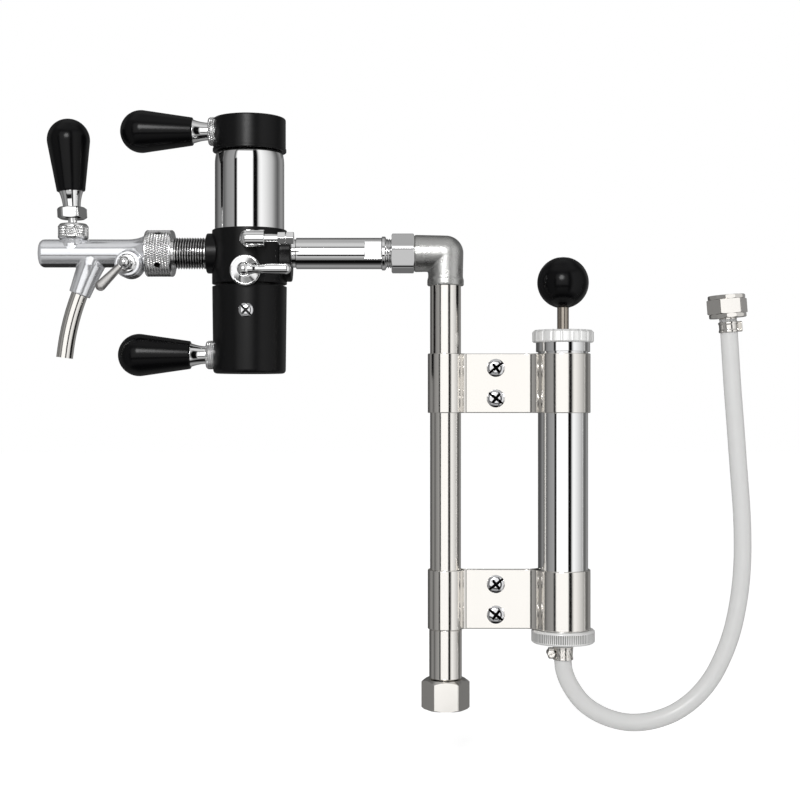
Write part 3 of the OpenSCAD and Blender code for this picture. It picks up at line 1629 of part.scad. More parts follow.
module hose_nut() {
  top = nut_foot + hose_nut_h;
  color("gainsboro")
    on_hose_end(0)
      difference() {
        union() {
          translate([0, 0, nut_foot + hose_rim_h])
            cylinder(r = hose_nut_af / 2 / cos(30), h = hose_nut_h - 2 * hose_rim_h, $fn = 6);
          for (z = [nut_foot, top - hose_rim_h])
            translate([0, 0, z])
              rotate([0, 0, 15])
                cylinder(r = hose_nut_af / 2 + 0.1, h = hose_rim_h, $fn = 12);
        }
        turned() {
          band(0, tail_neck_r + free_gap, 0, top + 1);
          band(0, hose_thread_r + 0.5, nut_foot + nut_floor_t, top - hose_thread_len);
          band(0, hose_thread_r, top - hose_thread_len, top + 1);
        }
      }
}

// Clamps: two bent halves, front and rear, that hold the pump to the riser

// A stretch of a ring between two angles
module ring_sector(r_in, r_out, a0, a1) {
  far = 3 * r_out;
  steps = 6;
  intersection() {
    difference() {
      circle(r = r_out, $fn = 96);
      circle(r = r_in, $fn = 96);
    }
    polygon(concat([[0, 0]], [for (i = [0:steps])
      let (a = a0 + (a1 - a0) * i / steps)
      [far * cos(a), far * sin(a)]]));
  }
}

// The front half's section, seen from above
module clamp_section() {
  lap = 1;
  riser_turn = atan2(-clamp_face_y - clamp_bend_riser, riser_bend_x);
  pump_turn = atan2(-clamp_face_y - clamp_bend_pump, pump_bend_x - pump_reach);
  riser_end = asin(clamp_web_y / (riser_saddle_r + clamp_t / 2));
  pump_end = asin(clamp_web_y / (pump_saddle_r + clamp_t / 2));
  ring_sector(riser_saddle_r, riser_saddle_r + clamp_t, riser_end - 180, riser_turn + lap);
  translate([riser_bend_x, -clamp_face_y - clamp_bend_riser])
    ring_sector(clamp_bend_riser, clamp_bend_riser + clamp_t, 90 - lap, 180 + riser_turn + lap);
  translate([riser_bend_x, -clamp_face_y])
    square([pump_bend_x - riser_bend_x, clamp_t]);
  translate([pump_bend_x, -clamp_face_y - clamp_bend_pump])
    ring_sector(clamp_bend_pump, clamp_bend_pump + clamp_t, 180 + pump_turn - lap, 90 + lap);
  translate([pump_reach, 0])
    ring_sector(pump_saddle_r, pump_saddle_r + clamp_t, pump_turn - lap, -pump_end);
}

module clamp_half(z) {
  color("gainsboro")
    difference() {
      translate([0, 0, z])
        linear_extrude(clamp_h)
          clamp_section();
      for (side = [-1, 1])
        to_front(screw_x, 0, z + clamp_h / 2 + side * screw_pitch)
          cylinder(r = screw_r + 0.2, h = clamp_face_y + 1, $fn = 32);
    }
}

module upper_clamp_front() {
  clamp_half(upper_clamp_z);
}

module upper_clamp_rear() {
  mirror([0, 1, 0])
    clamp_half(upper_clamp_z);
}

module lower_clamp_front() {
  clamp_half(lower_clamp_z);
}

module lower_clamp_rear() {
  mirror([0, 1, 0])
    clamp_half(lower_clamp_z);
}

// Place a child at each of the four clamp screws
module at_screws() {
  for (z = [upper_clamp_z, lower_clamp_z], side = [-1, 1])
    translate([screw_x, 0, z + clamp_h / 2 + side * screw_pitch])
      children();
}

module clamp_screws() {
  dome_r = (pow(screw_head_r, 2) + pow(screw_head_h, 2)) / (2 * screw_head_h);
  slot_w = 1.5;
  color("silver")
    at_screws()
      difference() {
        rotate([90, 0, 0])
          turned() {
            band(0, screw_r, -clamp_face_y - screw_nut_h - 2, clamp_face_y + 0.5);
            intersection() {
              translate([0, clamp_face_y + screw_head_h - dome_r])
                circle(r = dome_r, $fn = 96);
              band(0, screw_head_r, clamp_face_y, clamp_face_y + screw_head_h);
            }
          }
        for (turn = [30, 120])
          rotate([90, 0, 0])
            rotate([0, 0, turn])
              translate([-screw_head_r * 0.55, -slot_w / 2, clamp_face_y + 1.2])
                cube([screw_head_r * 1.1, slot_w, screw_head_h]);
      }
}

module clamp_nuts() {
  color("silver")
    at_screws()
      translate([0, clamp_face_y, 0])
        rotate([-90, 0, 0])
          difference() {
            hex_bar(screw_nut_af, screw_nut_h);
            translate([0, 0, -1])
              cylinder(r = screw_r + seat_gap, h = screw_nut_h + 2, $fn = 48);
          }
}

keg_nut();
keg_gasket();
keg_tailpiece();
riser_pipe();
elbow();
hex_union();
inlet_tube();
valve_block();
head_tube();
selector_cap();
selector_stem();
selector_locknut();
selector_ferrule();
selector_grip();
bottle_sleeve();
sleeve_locknut();
sleeve_ferrule();
sleeve_grip();
sleeve_screw();
bottle_gasket();
fill_nozzle();
vent_flange();
vent_lever();
gas_elbow();
tap_shank();
coupling_nut();
tap_body();
tap_spout();
tap_bonnet();
tap_lever();
tap_locknut();
tap_ferrule();
tap_grip();
tap_plunger();
flow_bush();
flow_lever();
flow_cone();
pump_barrel();
pump_cap();
rod_bush();
pump_rod();
pump_knob();
piston();
piston_cup();
piston_nut();
pump_base();
check_valve();
pump_barb();
hose_clamp();
hose();
far_clamp();
hose_tail();
hose_nut();
upper_clamp_front();
upper_clamp_rear();
lower_clamp_front();
lower_clamp_rear();
clamp_screws();
clamp_nuts();
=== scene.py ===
import json
import math

import bmesh
import bpy
import numpy as np
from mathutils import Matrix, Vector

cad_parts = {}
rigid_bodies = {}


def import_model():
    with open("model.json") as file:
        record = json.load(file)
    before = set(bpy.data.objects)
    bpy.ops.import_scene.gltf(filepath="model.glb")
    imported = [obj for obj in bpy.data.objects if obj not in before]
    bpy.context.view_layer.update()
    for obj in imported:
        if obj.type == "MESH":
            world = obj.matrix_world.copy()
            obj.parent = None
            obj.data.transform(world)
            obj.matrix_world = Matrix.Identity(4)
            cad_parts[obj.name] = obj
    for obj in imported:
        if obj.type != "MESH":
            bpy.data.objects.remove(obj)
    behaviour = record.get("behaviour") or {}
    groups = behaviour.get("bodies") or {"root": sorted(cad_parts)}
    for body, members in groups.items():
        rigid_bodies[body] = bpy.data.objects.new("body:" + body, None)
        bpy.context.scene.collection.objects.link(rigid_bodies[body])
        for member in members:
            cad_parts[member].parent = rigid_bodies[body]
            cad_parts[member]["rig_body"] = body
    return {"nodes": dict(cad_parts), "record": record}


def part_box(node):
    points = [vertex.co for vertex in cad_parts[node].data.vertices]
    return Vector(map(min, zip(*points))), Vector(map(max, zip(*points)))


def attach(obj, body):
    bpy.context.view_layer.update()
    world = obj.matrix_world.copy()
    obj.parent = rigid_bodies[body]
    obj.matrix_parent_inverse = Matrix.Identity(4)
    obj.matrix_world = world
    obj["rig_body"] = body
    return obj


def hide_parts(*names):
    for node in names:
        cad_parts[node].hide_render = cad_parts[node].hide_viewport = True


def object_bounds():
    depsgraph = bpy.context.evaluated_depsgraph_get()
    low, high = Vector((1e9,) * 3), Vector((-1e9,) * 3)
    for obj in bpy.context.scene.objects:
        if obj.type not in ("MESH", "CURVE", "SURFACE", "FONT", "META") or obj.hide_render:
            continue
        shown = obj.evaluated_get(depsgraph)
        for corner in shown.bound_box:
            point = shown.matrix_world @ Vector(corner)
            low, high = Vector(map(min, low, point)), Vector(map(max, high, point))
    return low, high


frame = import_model()
cad_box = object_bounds()

# Camera: level, one metre in front of the riser, and wide enough to take in the whole pump with
# its hose. The view's middle is a little left of the riser, at half the pump's height.
VIEW_DISTANCE = 1.0
VIEW_WIDTH = 0.5517
VIEW_MIDDLE = (-0.0314, 0.2124)
camera_data = bpy.data.cameras.new("camera")
camera_data.sensor_width = 36
camera_data.lens = camera_data.sensor_width * VIEW_DISTANCE / VIEW_WIDTH
camera = bpy.data.objects.new("camera", camera_data)
camera.location = (VIEW_MIDDLE[0], -VIEW_DISTANCE, VIEW_MIDDLE[1])
camera.rotation_euler = (math.pi / 2, 0, 0)
bpy.context.scene.collection.objects.link(camera)
bpy.context.scene.camera = camera
bpy.context.scene.view_settings.view_transform = "Standard"

# Hose: thick-walled milky polyethylene tube, extruded, that keeps the set of its coil. It is
# pushed over the barb under the pump and over the tail in the hose nut.


def linear(hex_colour):
    """A colour written as sRGB hex, as linear red, green, blue and alpha."""
    srgb = [int(hex_colour[i:i + 2], 16) / 255 for i in (1, 3, 5)]
    return [c / 12.92 if c <= 0.04045 else ((c + 0.055) / 1.055) ** 2.4 for c in srgb] + [1.0]


def put(owner, value, socket):
    """Sets a socket to a value, or links it to an output or to the first output of a node."""
    if isinstance(value, bpy.types.Node):
        value = value.outputs[0]
    if isinstance(value, bpy.types.NodeSocket):
        owner.node_tree.links.new(value, socket)
    else:
        socket.default_value = value


def add(owner, kind, settings=None, **inputs):
    """Adds a node of that kind to a material or world. Inputs go by name, or as i0, i1 by number."""
    made = owner.node_tree.nodes.new("ShaderNode" + kind)
    for key, value in (settings or {}).items():
        setattr(made, key, value)
    for key, value in inputs.items():
        place = int(key[1:]) if key[1:].isdigit() else key.replace("_", " ")
        put(owner, value, made.inputs[place])
    return made


def finish(material, **inputs):
    """Sets or links inputs of a material's Principled shader."""
    shader = material.node_tree.nodes["Principled BSDF"]
    for key, value in inputs.items():
        put(material, value, shader.inputs[key.replace("_", " ")])


def new_material(name, **inputs):
    """A material with one Principled shader that has these inputs."""
    material = bpy.data.materials.new(name)
    material.use_nodes = True
    finish(material, **inputs)
    return material


def uneven(material, scale, detail, rough=None, bumps=None):
    """Noise of `scale` patches to the metre, fixed to the piece: the roughness wanders between the
    two values of `rough`, and the skin has bumps of a (strength, height in metres)."""
    where = add(material, "TexCoord").outputs["Object"]
    noise = add(material, "TexNoise", Vector=where, Scale=scale, Detail=detail)
    if rough:
        finish(material, Roughness=add(material, "MapRange", i0=noise, i3=rough[0], i4=rough[1]))
    if bumps:
        finish(material, Normal=add(material, "Bump", Height=noise, Strength=bumps[0], Distance=bumps[1]))


def join_grids(grids):
    """Vertices and quads of point grids (rows, columns, 3): columns close on themselves, and the
    last row meets the first where the grid is marked as a closed ring."""
    vertices, quads, used = [], [], 0
    for points, ring in grids:
        rows, columns = points.shape[:2]
        number = used + np.arange(rows * columns).reshape(rows, columns)
        if ring:
            number = np.vstack([number, number[:1]])
        right = np.roll(number, -1, axis=1)
        quads.append(np.stack([number[:-1], right[:-1], right[1:], number[1:]], -1).reshape(-1, 4))
        vertices.append(points.reshape(-1, 3))
        used += rows * columns
    return np.concatenate(vertices), np.concatenate(quads)


SLOTS = {part["node"]: part["material_slot"] for part in frame["record"]["subparts"]}
SHARP_EDGE = math.radians(28)


def make(node, grids, material):
    """Puts grids, in millimetres, into a mesh that stands for a CAD node, closes its poles, gives it
    the material and lets it ride on the node's body."""
    vertices, quads = join_grids(grids)
    mesh = bpy.data.meshes.new(node + "_form")
    mesh.from_pydata(vertices * 0.001, [], quads)
    shape = bmesh.new()
    shape.from_mesh(mesh)
    bmesh.ops.remove_doubles(shape, verts=shape.verts, dist=2e-7)
    bmesh.ops.dissolve_degenerate(shape, edges=shape.edges, dist=1e-7)
    bmesh.ops.recalc_face_normals(shape, faces=shape.faces)
    shape.to_mesh(mesh)
    shape.free()
    mesh.polygons.foreach_set("use_smooth", [True] * len(mesh.polygons))
    mesh.set_sharp_from_angle(angle=SHARP_EDGE)
    mesh.materials.append(material)
    piece = bpy.data.objects.new(node + "_form", mesh)
    bpy.context.scene.collection.objects.link(piece)
    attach(piece, frame["nodes"][node]["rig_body"])
    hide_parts(node)
    return piece


def tube(path, outer_r, bore_r, sides=48):
    """A round tube along a path in the plane y = 0: circles square to the path's direction, first
    those of the skin, then those of the bore from the far end back."""
    ahead = np.gradient(path, axis=0)
    ahead /= np.linalg.norm(ahead, axis=1)[:, None]
    normal = np.array([0.0, 1.0, 0.0])
    side = np.cross(normal, ahead)[:, None]
    turn = (np.arange(sides) / sides * 2 * np.pi)[:, None]
    spoke = np.cos(turn) * side + np.sin(turn) * normal
    return np.concatenate([path[:, None] + outer_r * spoke, (path[:, None] + bore_r * spoke)[::-1]]), True


def smooth_path(points, step=1.5):
    """Catmull-Rom curve through the points, with samples about `step` apart."""
    points = np.array(points, float)
    full = np.vstack([2 * points[0] - points[1], points, 2 * points[-1] - points[-2]])
    pieces = []
    for i in range(len(points) - 1):
        a, b, c, d = full[i:i + 4]
        t = np.linspace(0, 1, max(2, int(np.linalg.norm(c - b) / step)), endpoint=False)[:, None]
        pieces.append(0.5 * (2 * b + (c - a) * t + (2 * a - 5 * b + 4 * c - d) * t ** 2
                             + (3 * b - a - 3 * c + d) * t ** 3))
    return np.vstack(pieces + [points[-1:]])


HOSE_ROUTE = [
    (81, 44.5), (81, 38), (81, 32), (82, 25), (86, 15.5), (94, 4.5), (105, -3.5),
    (118, -8.5), (131, -10), (145, -8), (159, -2.5), (172, 7), (183, 20), (191, 35),
    (197, 51), (201, 68), (203.5, 85), (204.7, 102), (204.8, 119), (204.2, 136),
    (203, 153), (201.7, 170), (200.5, 187), (199.2, 204), (197.9, 221), (196.8, 238),
    (196, 251), (195.4, 260), (194.8, 268)]
HOSE_RADIUS = 5.95
HOSE_BORE = 4.0
hose_path = smooth_path([(x, 0, z) for x, z in HOSE_ROUTE])

# Milky polyethylene: the extruded skin is satin, and light passes a few millimetres into the wall
milky_polyethylene = new_material(
    "milky_polyethylene", Base_Color=linear("#E8E8E7"), Roughness=0.25, IOR=1.45, Transmission_Weight=0.15,
    Subsurface_Weight=0.5, Subsurface_Radius=(1, 1, 1), Subsurface_Scale=0.003)
uneven(milky_polyethylene, 90.0, 3.0, bumps=(0.05, 0.0003))
hose = make("hose", [tube(hose_path, HOSE_RADIUS, HOSE_BORE)], milky_polyethylene)

# Riser: 1/2 inch welded stainless pipe, polished after welding, brazed into the tailpiece's
# sleeve at its foot. Polishing leaves a mirror with a faint haze along the pipe.

FRONT, UP, LEFT, RIGHT = (0, -1, 0), (0, 0, 1), (-1, 0, 0), (1, 0, 0)
EASED = 0.25
ANYWHERE = (-1e9, 1e9)


def outline(corners, ring=False, fine=None, skin=-1.0, within=ANYWHERE):
    """Outline through (along, radius, rounding) corners: a corner becomes an arc tangent to both
    its sides, with a short flat beside it that keeps the shading crisp. Sides longer than `fine`
    are split where they lie outside the radius `skin` and between the two places `within`."""
    arc_points, nearly_straight, most_of_side, flat_share = 6, 1.56, 0.45, 0.15
    points = []
    count = len(corners)
    for i, corner in enumerate(corners):
        p = np.array(corner[:2], float)
        rounding = corner[2] if len(corner) > 2 else EASED
        if rounding == 0 or (not ring and i in (0, count - 1)):
            points.append(p)
            continue
        back = np.array(corners[i - 1][:2], float) - p
        ahead = np.array(corners[(i + 1) % count][:2], float) - p
        long_back, long_ahead = np.linalg.norm(back), np.linalg.norm(ahead)
        back, ahead = back / long_back, ahead / long_ahead
        half = math.acos(np.clip(back @ ahead, -1, 1)) / 2
        if half > nearly_straight:
            points.append(p)
            continue
        cut = min(rounding / math.tan(half), most_of_side * long_back, most_of_side * long_ahead)
        middle = back + ahead
        centre = p + middle / np.linalg.norm(middle) * cut / math.cos(half)
        start, end = p + back * cut, p + ahead * cut
        a, b = [math.atan2(*(q - centre)[::-1]) for q in (start, end)]
        turn = (b - a + math.pi) % (2 * math.pi) - math.pi
        swing = a + turn * np.linspace(0, 1, arc_points)
        curve = centre + np.linalg.norm(start - centre) * np.stack([np.cos(swing), np.sin(swing)], -1)
        points += [start + back * flat_share * cut, *curve, end + ahead * flat_share * cut]
    points = np.array(points)
    if fine:
        follow = np.vstack([points, points[:1]]) if ring else points
        split = []
        for p, q in zip(follow[:-1], follow[1:]):
            seen = min(p[1], q[1]) > skin and max(p[0], q[0]) > within[0] and min(p[0], q[0]) < within[1]
            parts = math.ceil(np.linalg.norm(q - p) / fine) if seen else 1
            split.append(np.linspace(p, q, max(1, parts), endpoint=False))
        points = np.vstack(split + ([] if ring else [points[-1:]]))
    return points


def lathe(points, foot, along, zero=None, sides=96, shape=None, ring=False):
    """Surface of revolution: outline points (along, radius) in millimetres spun about the axis that
    starts at foot. shape(along, radius, turn) may change the place along and the radius."""
    ahead = np.array(along, float)
    ahead /= np.linalg.norm(ahead)
    first = np.array(zero or (FRONT if abs(ahead[1]) < 0.9 else UP), float)
    second = np.cross(ahead, first)
    turn = np.arange(sides) / sides * 2 * np.pi + 0 * points[:, :1]
    far, radius = points[:, :1] + 0 * turn, points[:, 1:] + 0 * turn
    if shape:
        far, radius = shape(far, radius, turn)
    across = (radius * np.cos(turn))[..., None] * first + (radius * np.sin(turn))[..., None] * second
    return np.array(foot, float) + far[..., None] * ahead + across, ring


def turned(corners, foot=(0, 0, 0), along=UP, fine=None, skin=-1.0, within=ANYWHERE, **spin):
    """A body turned from the outline through the corners: solid where the outline starts on the
    axis, and otherwise hollow, its outline a closed ring."""
    hollow = corners[0][1] > 0
    return lathe(outline(corners, hollow, fine, skin, within), foot, along, ring=hollow, **spin)


def span(node):
    """Lowest and highest corner of a CAD node, in millimetres."""
    low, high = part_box(node)
    return np.array(low) * 1000, np.array(high) * 1000


def heights(node):
    """Foot and top of a CAD node, in millimetres."""
    return [corner[2] for corner in span(node)]


def recessed(material, unshaded_colour, shade_colour, distance=0.0015):
    """Colour that falls from the unshaded to the shade colour where the metal is hemmed in by its own piece,
    or where it is marked with painted shade: painted shade that stands in for the occlusion of grooves,
    corners and recesses."""
    hemmed = add(material, "AmbientOcclusion", {"samples": 8, "only_local": True}, Distance=distance)
    tint = add(material, "ValToRGB", i0=hemmed.outputs["AO"])
    for element, place, colour in zip(tint.color_ramp.elements, (0.2, 0.65), (shade_colour, unshaded_colour)):
        element.position = place
        element.color = linear(colour)
    marked_shade = add(material, "Attribute", {"attribute_name": "painted_shade"}).outputs["Fac"]
    both = add(material, "Mix", {"data_type": "RGBA"}, i0=marked_shade, i6=tint, i7=linear(shade_colour)).outputs[2]
    finish(material, Base_Color=both)
    return both


# Polished stainless steel: warm grey mirror, with a haze from the polishing wheel
polished_stainless = new_material("polished_stainless", Metallic=1.0)
# Its colour is darkened to a painted shade where the piece hems itself in
recessed(polished_stainless, "#F2EFEA", "#4C4741")
uneven(polished_stainless, 60.0, 4.0, rough=(0.08, 0.15))

RISER_R, RISER_BORE = 10.65, 8.65
riser_low, riser_high = heights("riser_pipe")
make("riser_pipe", [turned([(riser_low, RISER_R), (riser_high, RISER_R), (riser_high, RISER_BORE),
                            (riser_low, RISER_BORE)])], polished_stainless)

# Tailpiece: turned stainless, with a flange for the keg gasket and a sleeve brazed over the
# riser's foot. The sleeve's upper edge is turned thin.
TAIL_BORE, TAIL_NECK_R, FLANGE_R, FLANGE_TOP = 5.5, 7.25, 9.7, 11.6
SOCKET_R, SOCKET_BORE, SOCKET_FOOT, RISER_STOP = 11.25, 10.7, 21, 26
tail_low, tail_high = heights("keg_tailpiece")
make("keg_tailpiece", [turned([
    (tail_low, TAIL_BORE), (tail_low, FLANGE_R), (FLANGE_TOP, FLANGE_R), (FLANGE_TOP, TAIL_NECK_R),
    (SOCKET_FOOT, TAIL_NECK_R), (SOCKET_FOOT, SOCKET_R, 0.5), (tail_high, SOCKET_R, 0.3),
    (tail_high, SOCKET_BORE, 0.1), (RISER_STOP, SOCKET_BORE), (RISER_STOP, TAIL_BORE)])], polished_stainless)

# Keg nut: a forged union nut, 29 mm across its flats, machined and polished. Its top is turned
# at 30 degrees, which leaves curved edges on the six faces.


def limited(far, radius, limit):
    """Cuts the radius to a limit. The first row beyond it is moved along its column to the place
    where the column crosses the limit, so that the cut has a clean edge."""
    over = radius > limit
    place = far
    for step in (1, -1):
        before = np.roll(radius, step, 0)
        enters = over & ~np.roll(over, step, 0)
        part = np.clip((limit - before) / np.where(enters, radius - before, 1), 0, 1)
        from_there = np.roll(far, step, 0)
        place = np.where(enters, from_there + part * (far - from_there), place)
    return place, np.minimum(radius, limit)


def to_corner(across):
    """Radius to the corners of a hexagon from its width across flats."""
    return across / 2 / math.cos(math.pi / 6)


def hexagon(across, turn=0.0, soft=0.8):
    """Limits the radius to a hexagon with a corner at `turn` degrees, rounded with radius `soft`."""
    half = across / 2
    middle = (half - soft) / math.cos(math.pi / 6)
    flat_to = math.atan((half - soft) * math.tan(math.pi / 6) / half)

    def shape(far, radius, angle):
        inside = np.abs((angle - math.radians(turn)) % (math.pi / 3) - math.pi / 6)
        corner = math.pi / 6 - inside
        round_r = middle * np.cos(corner) + np.sqrt(np.maximum(soft ** 2 - (middle * np.sin(corner)) ** 2, 0))
        return limited(far, radius, np.where(inside < flat_to, half / np.cos(inside), round_r))
    return shape


KEG_ACROSS, KEG_NUT_H, KEG_CONE = 29.0, 20.5, 18.2
KEG_BORE, KEG_HOLE_R, RELIEF_R, RELIEF_LOW, RELIEF_TOP = 10.3, 7.65, 10.8, 8, 12
corner_r = to_corner(KEG_ACROSS)
make("keg_nut", [turned([
    (0, KEG_BORE, 0.3), (0, KEG_ACROSS / 2 + 0.6, 0.3), (0.9, corner_r, 0.1), (KEG_CONE, corner_r, 0.2),
    (KEG_NUT_H, KEG_ACROSS / 2 - 0.9, 0.5), (KEG_NUT_H, KEG_HOLE_R, 0.3), (RELIEF_TOP, KEG_HOLE_R),
    (RELIEF_TOP, RELIEF_R), (RELIEF_LOW, RELIEF_R), (RELIEF_LOW, KEG_BORE)], fine=0.5, skin=12, zero=RIGHT,
    sides=360, shape=hexagon(KEG_ACROSS))], polished_stainless)

# Elbow: investment-cast stainless, its skin left as cast and only bead-blasted, so it is duller
# and rougher than the pipe. The lower socket has a rolled rim.


def arc(radius, start, end, count, at=0.0, out=0.0):
    """Outline points at + r sin t along the axis and out + r cos t from it, t in degrees."""
    t = np.radians(np.linspace(start, end, count))
    return np.stack([at + radius * np.sin(t), out + radius * np.cos(t)], -1)


def fused(piece, voxel, relax):
    """Fuses the crossing surfaces of a casting into one skin by a voxel remesh and eases the corners."""
    remesh = piece.modifiers.new("fuse", "REMESH")
    remesh.mode = "VOXEL"
    remesh.voxel_size = voxel / 1000
    remesh.use_smooth_shade = True
    ease = piece.modifiers.new("ease", "SMOOTH")
    ease.factor = 0.5
    ease.iterations = relax


# Cast stainless steel: grey, matt, with the fine orange-peel grain of the ceramic mould
cast_stainless = new_material("cast_stainless", Base_Color=linear("#C6C6C4"), Metallic=1.0)
where = add(cast_stainless, "TexCoord").outputs["Object"]
grain = add(cast_stainless, "TexNoise", Vector=where, Scale=900.0, Detail=5.0, Roughness=0.7)
lumps = add(cast_stainless, "TexNoise", Vector=where, Scale=220.0, Detail=2.0)
height = add(cast_stainless, "Math", {"operation": "ADD"}, i0=grain, i1=lumps)
finish(cast_stainless, Normal=add(cast_stainless, "Bump", Height=height, Strength=0.5, Distance=0.0004),
       Roughness=add(cast_stainless, "MapRange", i0=lumps, i3=0.2, i4=0.38))

ELBOW_Z, ELBOW_R, RIM_R, SOCKET_L = 313.4, 12.35, 12.6, 21.6
bend = (0, 0, ELBOW_Z)
fused(make("elbow", [
    turned([(291, 0), (291, RIM_R, 0.5), (295.4, RIM_R, 0.4), (296.6, 12.0, 0.3), (302, 12.05),
            (ELBOW_Z, ELBOW_R, 0), (ELBOW_Z, 0)], fine=1.0, sides=128),
    lathe(arc(ELBOW_R, -90, 90, 40), bend, UP, sides=128),
    turned([(0, 0), (0, ELBOW_R), (SOCKET_L, 12.8, 0.8), (SOCKET_L, 0)], bend, LEFT, fine=1.0,
           sides=128)], cast_stainless), 0.45, 12)

# Hexagonal union: a turned and chromed fitting screwed into the elbow's left socket. Its thread
# shows in the gap between the hexagon and the inlet tube's end ring.

# Bright chrome plate: nearly white mirror over a buffed base, with the faintest haze
bright_chrome = new_material("bright_chrome", Metallic=1.0)
# Its colour is darkened to a painted shade where the piece hems itself in
recessed(bright_chrome, "#F8F8F8", "#303032")
uneven(bright_chrome, 45.0, 3.0, rough=(0.03, 0.075))


def chamfered(start, end, radius, drop, run, edge, crest):
    """Four corners of a body that is chamfered alike at both ends: the radius falls by `drop` over
    the length `run`. The outer corners are rounded by `edge` and the inner ones by `crest`."""
    return [(start, radius - drop, edge), (start + run, radius, crest), (end - run, radius, crest),
            (end, radius - drop, edge)]


UNION_X, UNION_ACROSS, UNION_L = -SOCKET_L, 24.8, 15.6
UNION_SOCKET_R, UNION_STOP, NIPPLE_L = 10.2, 5.6, 11.5
LIQUID_BORE, THREAD_R = 6.5, 10.15
corner_r = to_corner(UNION_ACROSS)
union_foot = (UNION_X, 0, ELBOW_Z)
make("hex_union", [
    turned([(0, LIQUID_BORE), *chamfered(0, UNION_L, corner_r, 1.7, 1.0, 0.5, 0.6), (UNION_L, UNION_SOCKET_R),
            (UNION_STOP, UNION_SOCKET_R), (UNION_STOP, LIQUID_BORE)], union_foot, LEFT, fine=0.4, skin=10.5,
            sides=288,
           shape=hexagon(UNION_ACROSS, 13.5, 3.0)),
    turned([(-NIPPLE_L, LIQUID_BORE), (-NIPPLE_L, THREAD_R), (0.5, THREAD_R), (0.5, LIQUID_BORE)], union_foot,
           LEFT)], bright_chrome)

# Inlet tube: a chromed brass tube with an end ring, two milled wrench flats beside it and an
# undercut next to the valve block.


def thread(start, end, pitch, depth):
    """Cuts a helical V thread with flattened crests: the radius drops by `depth` once a pitch."""
    def shape(far, radius, angle):
        wave = np.abs((far / pitch + angle / (2 * np.pi)) % 1 - 0.5) * 2
        fade = np.clip(np.minimum(far - start, end - far) / (0.4 * pitch), 0, 1)
        return far, radius - depth * fade * np.clip(1.3 * wave - 0.15, 0, 1)
    return shape


(tube_left, _, _), (thread_right, _, _) = span("inlet_tube")
RING_X = UNION_X - UNION_L - 3.9
BLOCK_FACE = -105.8
TUBE_R, RING_R, UNDERCUT_R = 10.75, 11.65, 9.75
FLAT_TURN, FLAT_WIDTH = math.radians(12), 12.5
ring_at, tube_l = thread_right - RING_X, thread_right - tube_left
undercut_at = thread_right - BLOCK_FACE - 2.9
tube_thread = thread(0.3, ring_at - 0.2, 1.5, 0.9)


def thread_and_flats(far, radius, angle):
    """The end thread, and beside the ring two opposite flats, turned a little up: each is a chord
    of its width, cut where the tube stands out beyond it."""
    depth = math.sqrt(TUBE_R ** 2 - (FLAT_WIDTH / 2) ** 2)
    lean = np.abs((angle - FLAT_TURN + np.pi / 2) % np.pi - np.pi / 2)
    flat = depth / np.maximum(np.cos(lean), 0.2)
    outside = radius > 8
    flats_on = (far > ring_at + 3.2) & (far < ring_at + 14.6) & outside
    cut = np.where(flats_on, np.minimum(radius, flat), radius)
    return far, np.where((far < ring_at) & outside, tube_thread(far, radius, angle)[1], cut)


make("inlet_tube", [turned([
    (0, LIQUID_BORE), (0, THREAD_R), (ring_at, THREAD_R), (ring_at, 11.0, 0.2),
    (ring_at + 0.8, RING_R, 0.3), (ring_at + 2.5, RING_R, 0.4), (ring_at + 3.1, TUBE_R, 0.2),
    (ring_at + 16, TUBE_R, 0), (undercut_at, TUBE_R, 0.5), (undercut_at, UNDERCUT_R, 0.2),
    (tube_l, UNDERCUT_R), (tube_l, LIQUID_BORE)], (thread_right, 0, ELBOW_Z), LEFT, fine=0.2, skin=10,
    within=(-1, ring_at + 15.9), sides=256, shape=thread_and_flats)], bright_chrome)

# Valve block: machined black acetal, with a boss on each side for the tap's shank and the inlet
# tube. The right boss reaches lower, and the neck below carries the bottle sleeve.

# Black acetal: turned, with a satin skin and the faintest tool marks
black_acetal = new_material("black_acetal", Base_Color=linear("#0A0A0B"), IOR=1.48, Specular_IOR_Level=0.22)
uneven(black_acetal, 400.0, 3.0, rough=(0.25, 0.35), bumps=(0.08, 0.0002))

FILLER_X = -135.1
filler = (FILLER_X, 0, 0)
BLOCK_TOP, BLOCK_FOOT, BLOCK_R = 329.3, 292.1, 25.7
BOSS_R, BOSS_REACH, BOSS_DROP = 13.8, 29.3, 5.7
RECESS_R, RECESS_FLOOR = 23.9, 324
NECK_R, GROOVE_R, GROOVE_LOW, GROOVE_TOP = 19.8, 18.2, 270.8, 275.2
neck_foot = heights("valve_block")[0]


def boss(direction, z, shape=None):
    """A side boss with an eased outer edge, from the block's middle outward."""
    return turned([(5, 0), (5, BOSS_R), (BOSS_REACH, BOSS_R, 1.0), (BOSS_REACH, 0)], (FILLER_X, 0, z),
                  direction, zero=UP, sides=192, shape=shape)


def stadium(half):
    """Widens a circle to a stadium: two half circles whose middles are `half` above and below."""
    def shape(far, radius, angle):
        up, across = np.abs(np.cos(angle)), np.abs(np.sin(angle))
        cap = half * up + np.sqrt(np.maximum(radius ** 2 - (half * across) ** 2, 0))
        side = radius / np.maximum(across, 1e-6)
        wide = np.where(side * up < half, side, cap)
        return far, np.where(radius < 1e-6, 0, wide)
    return shape


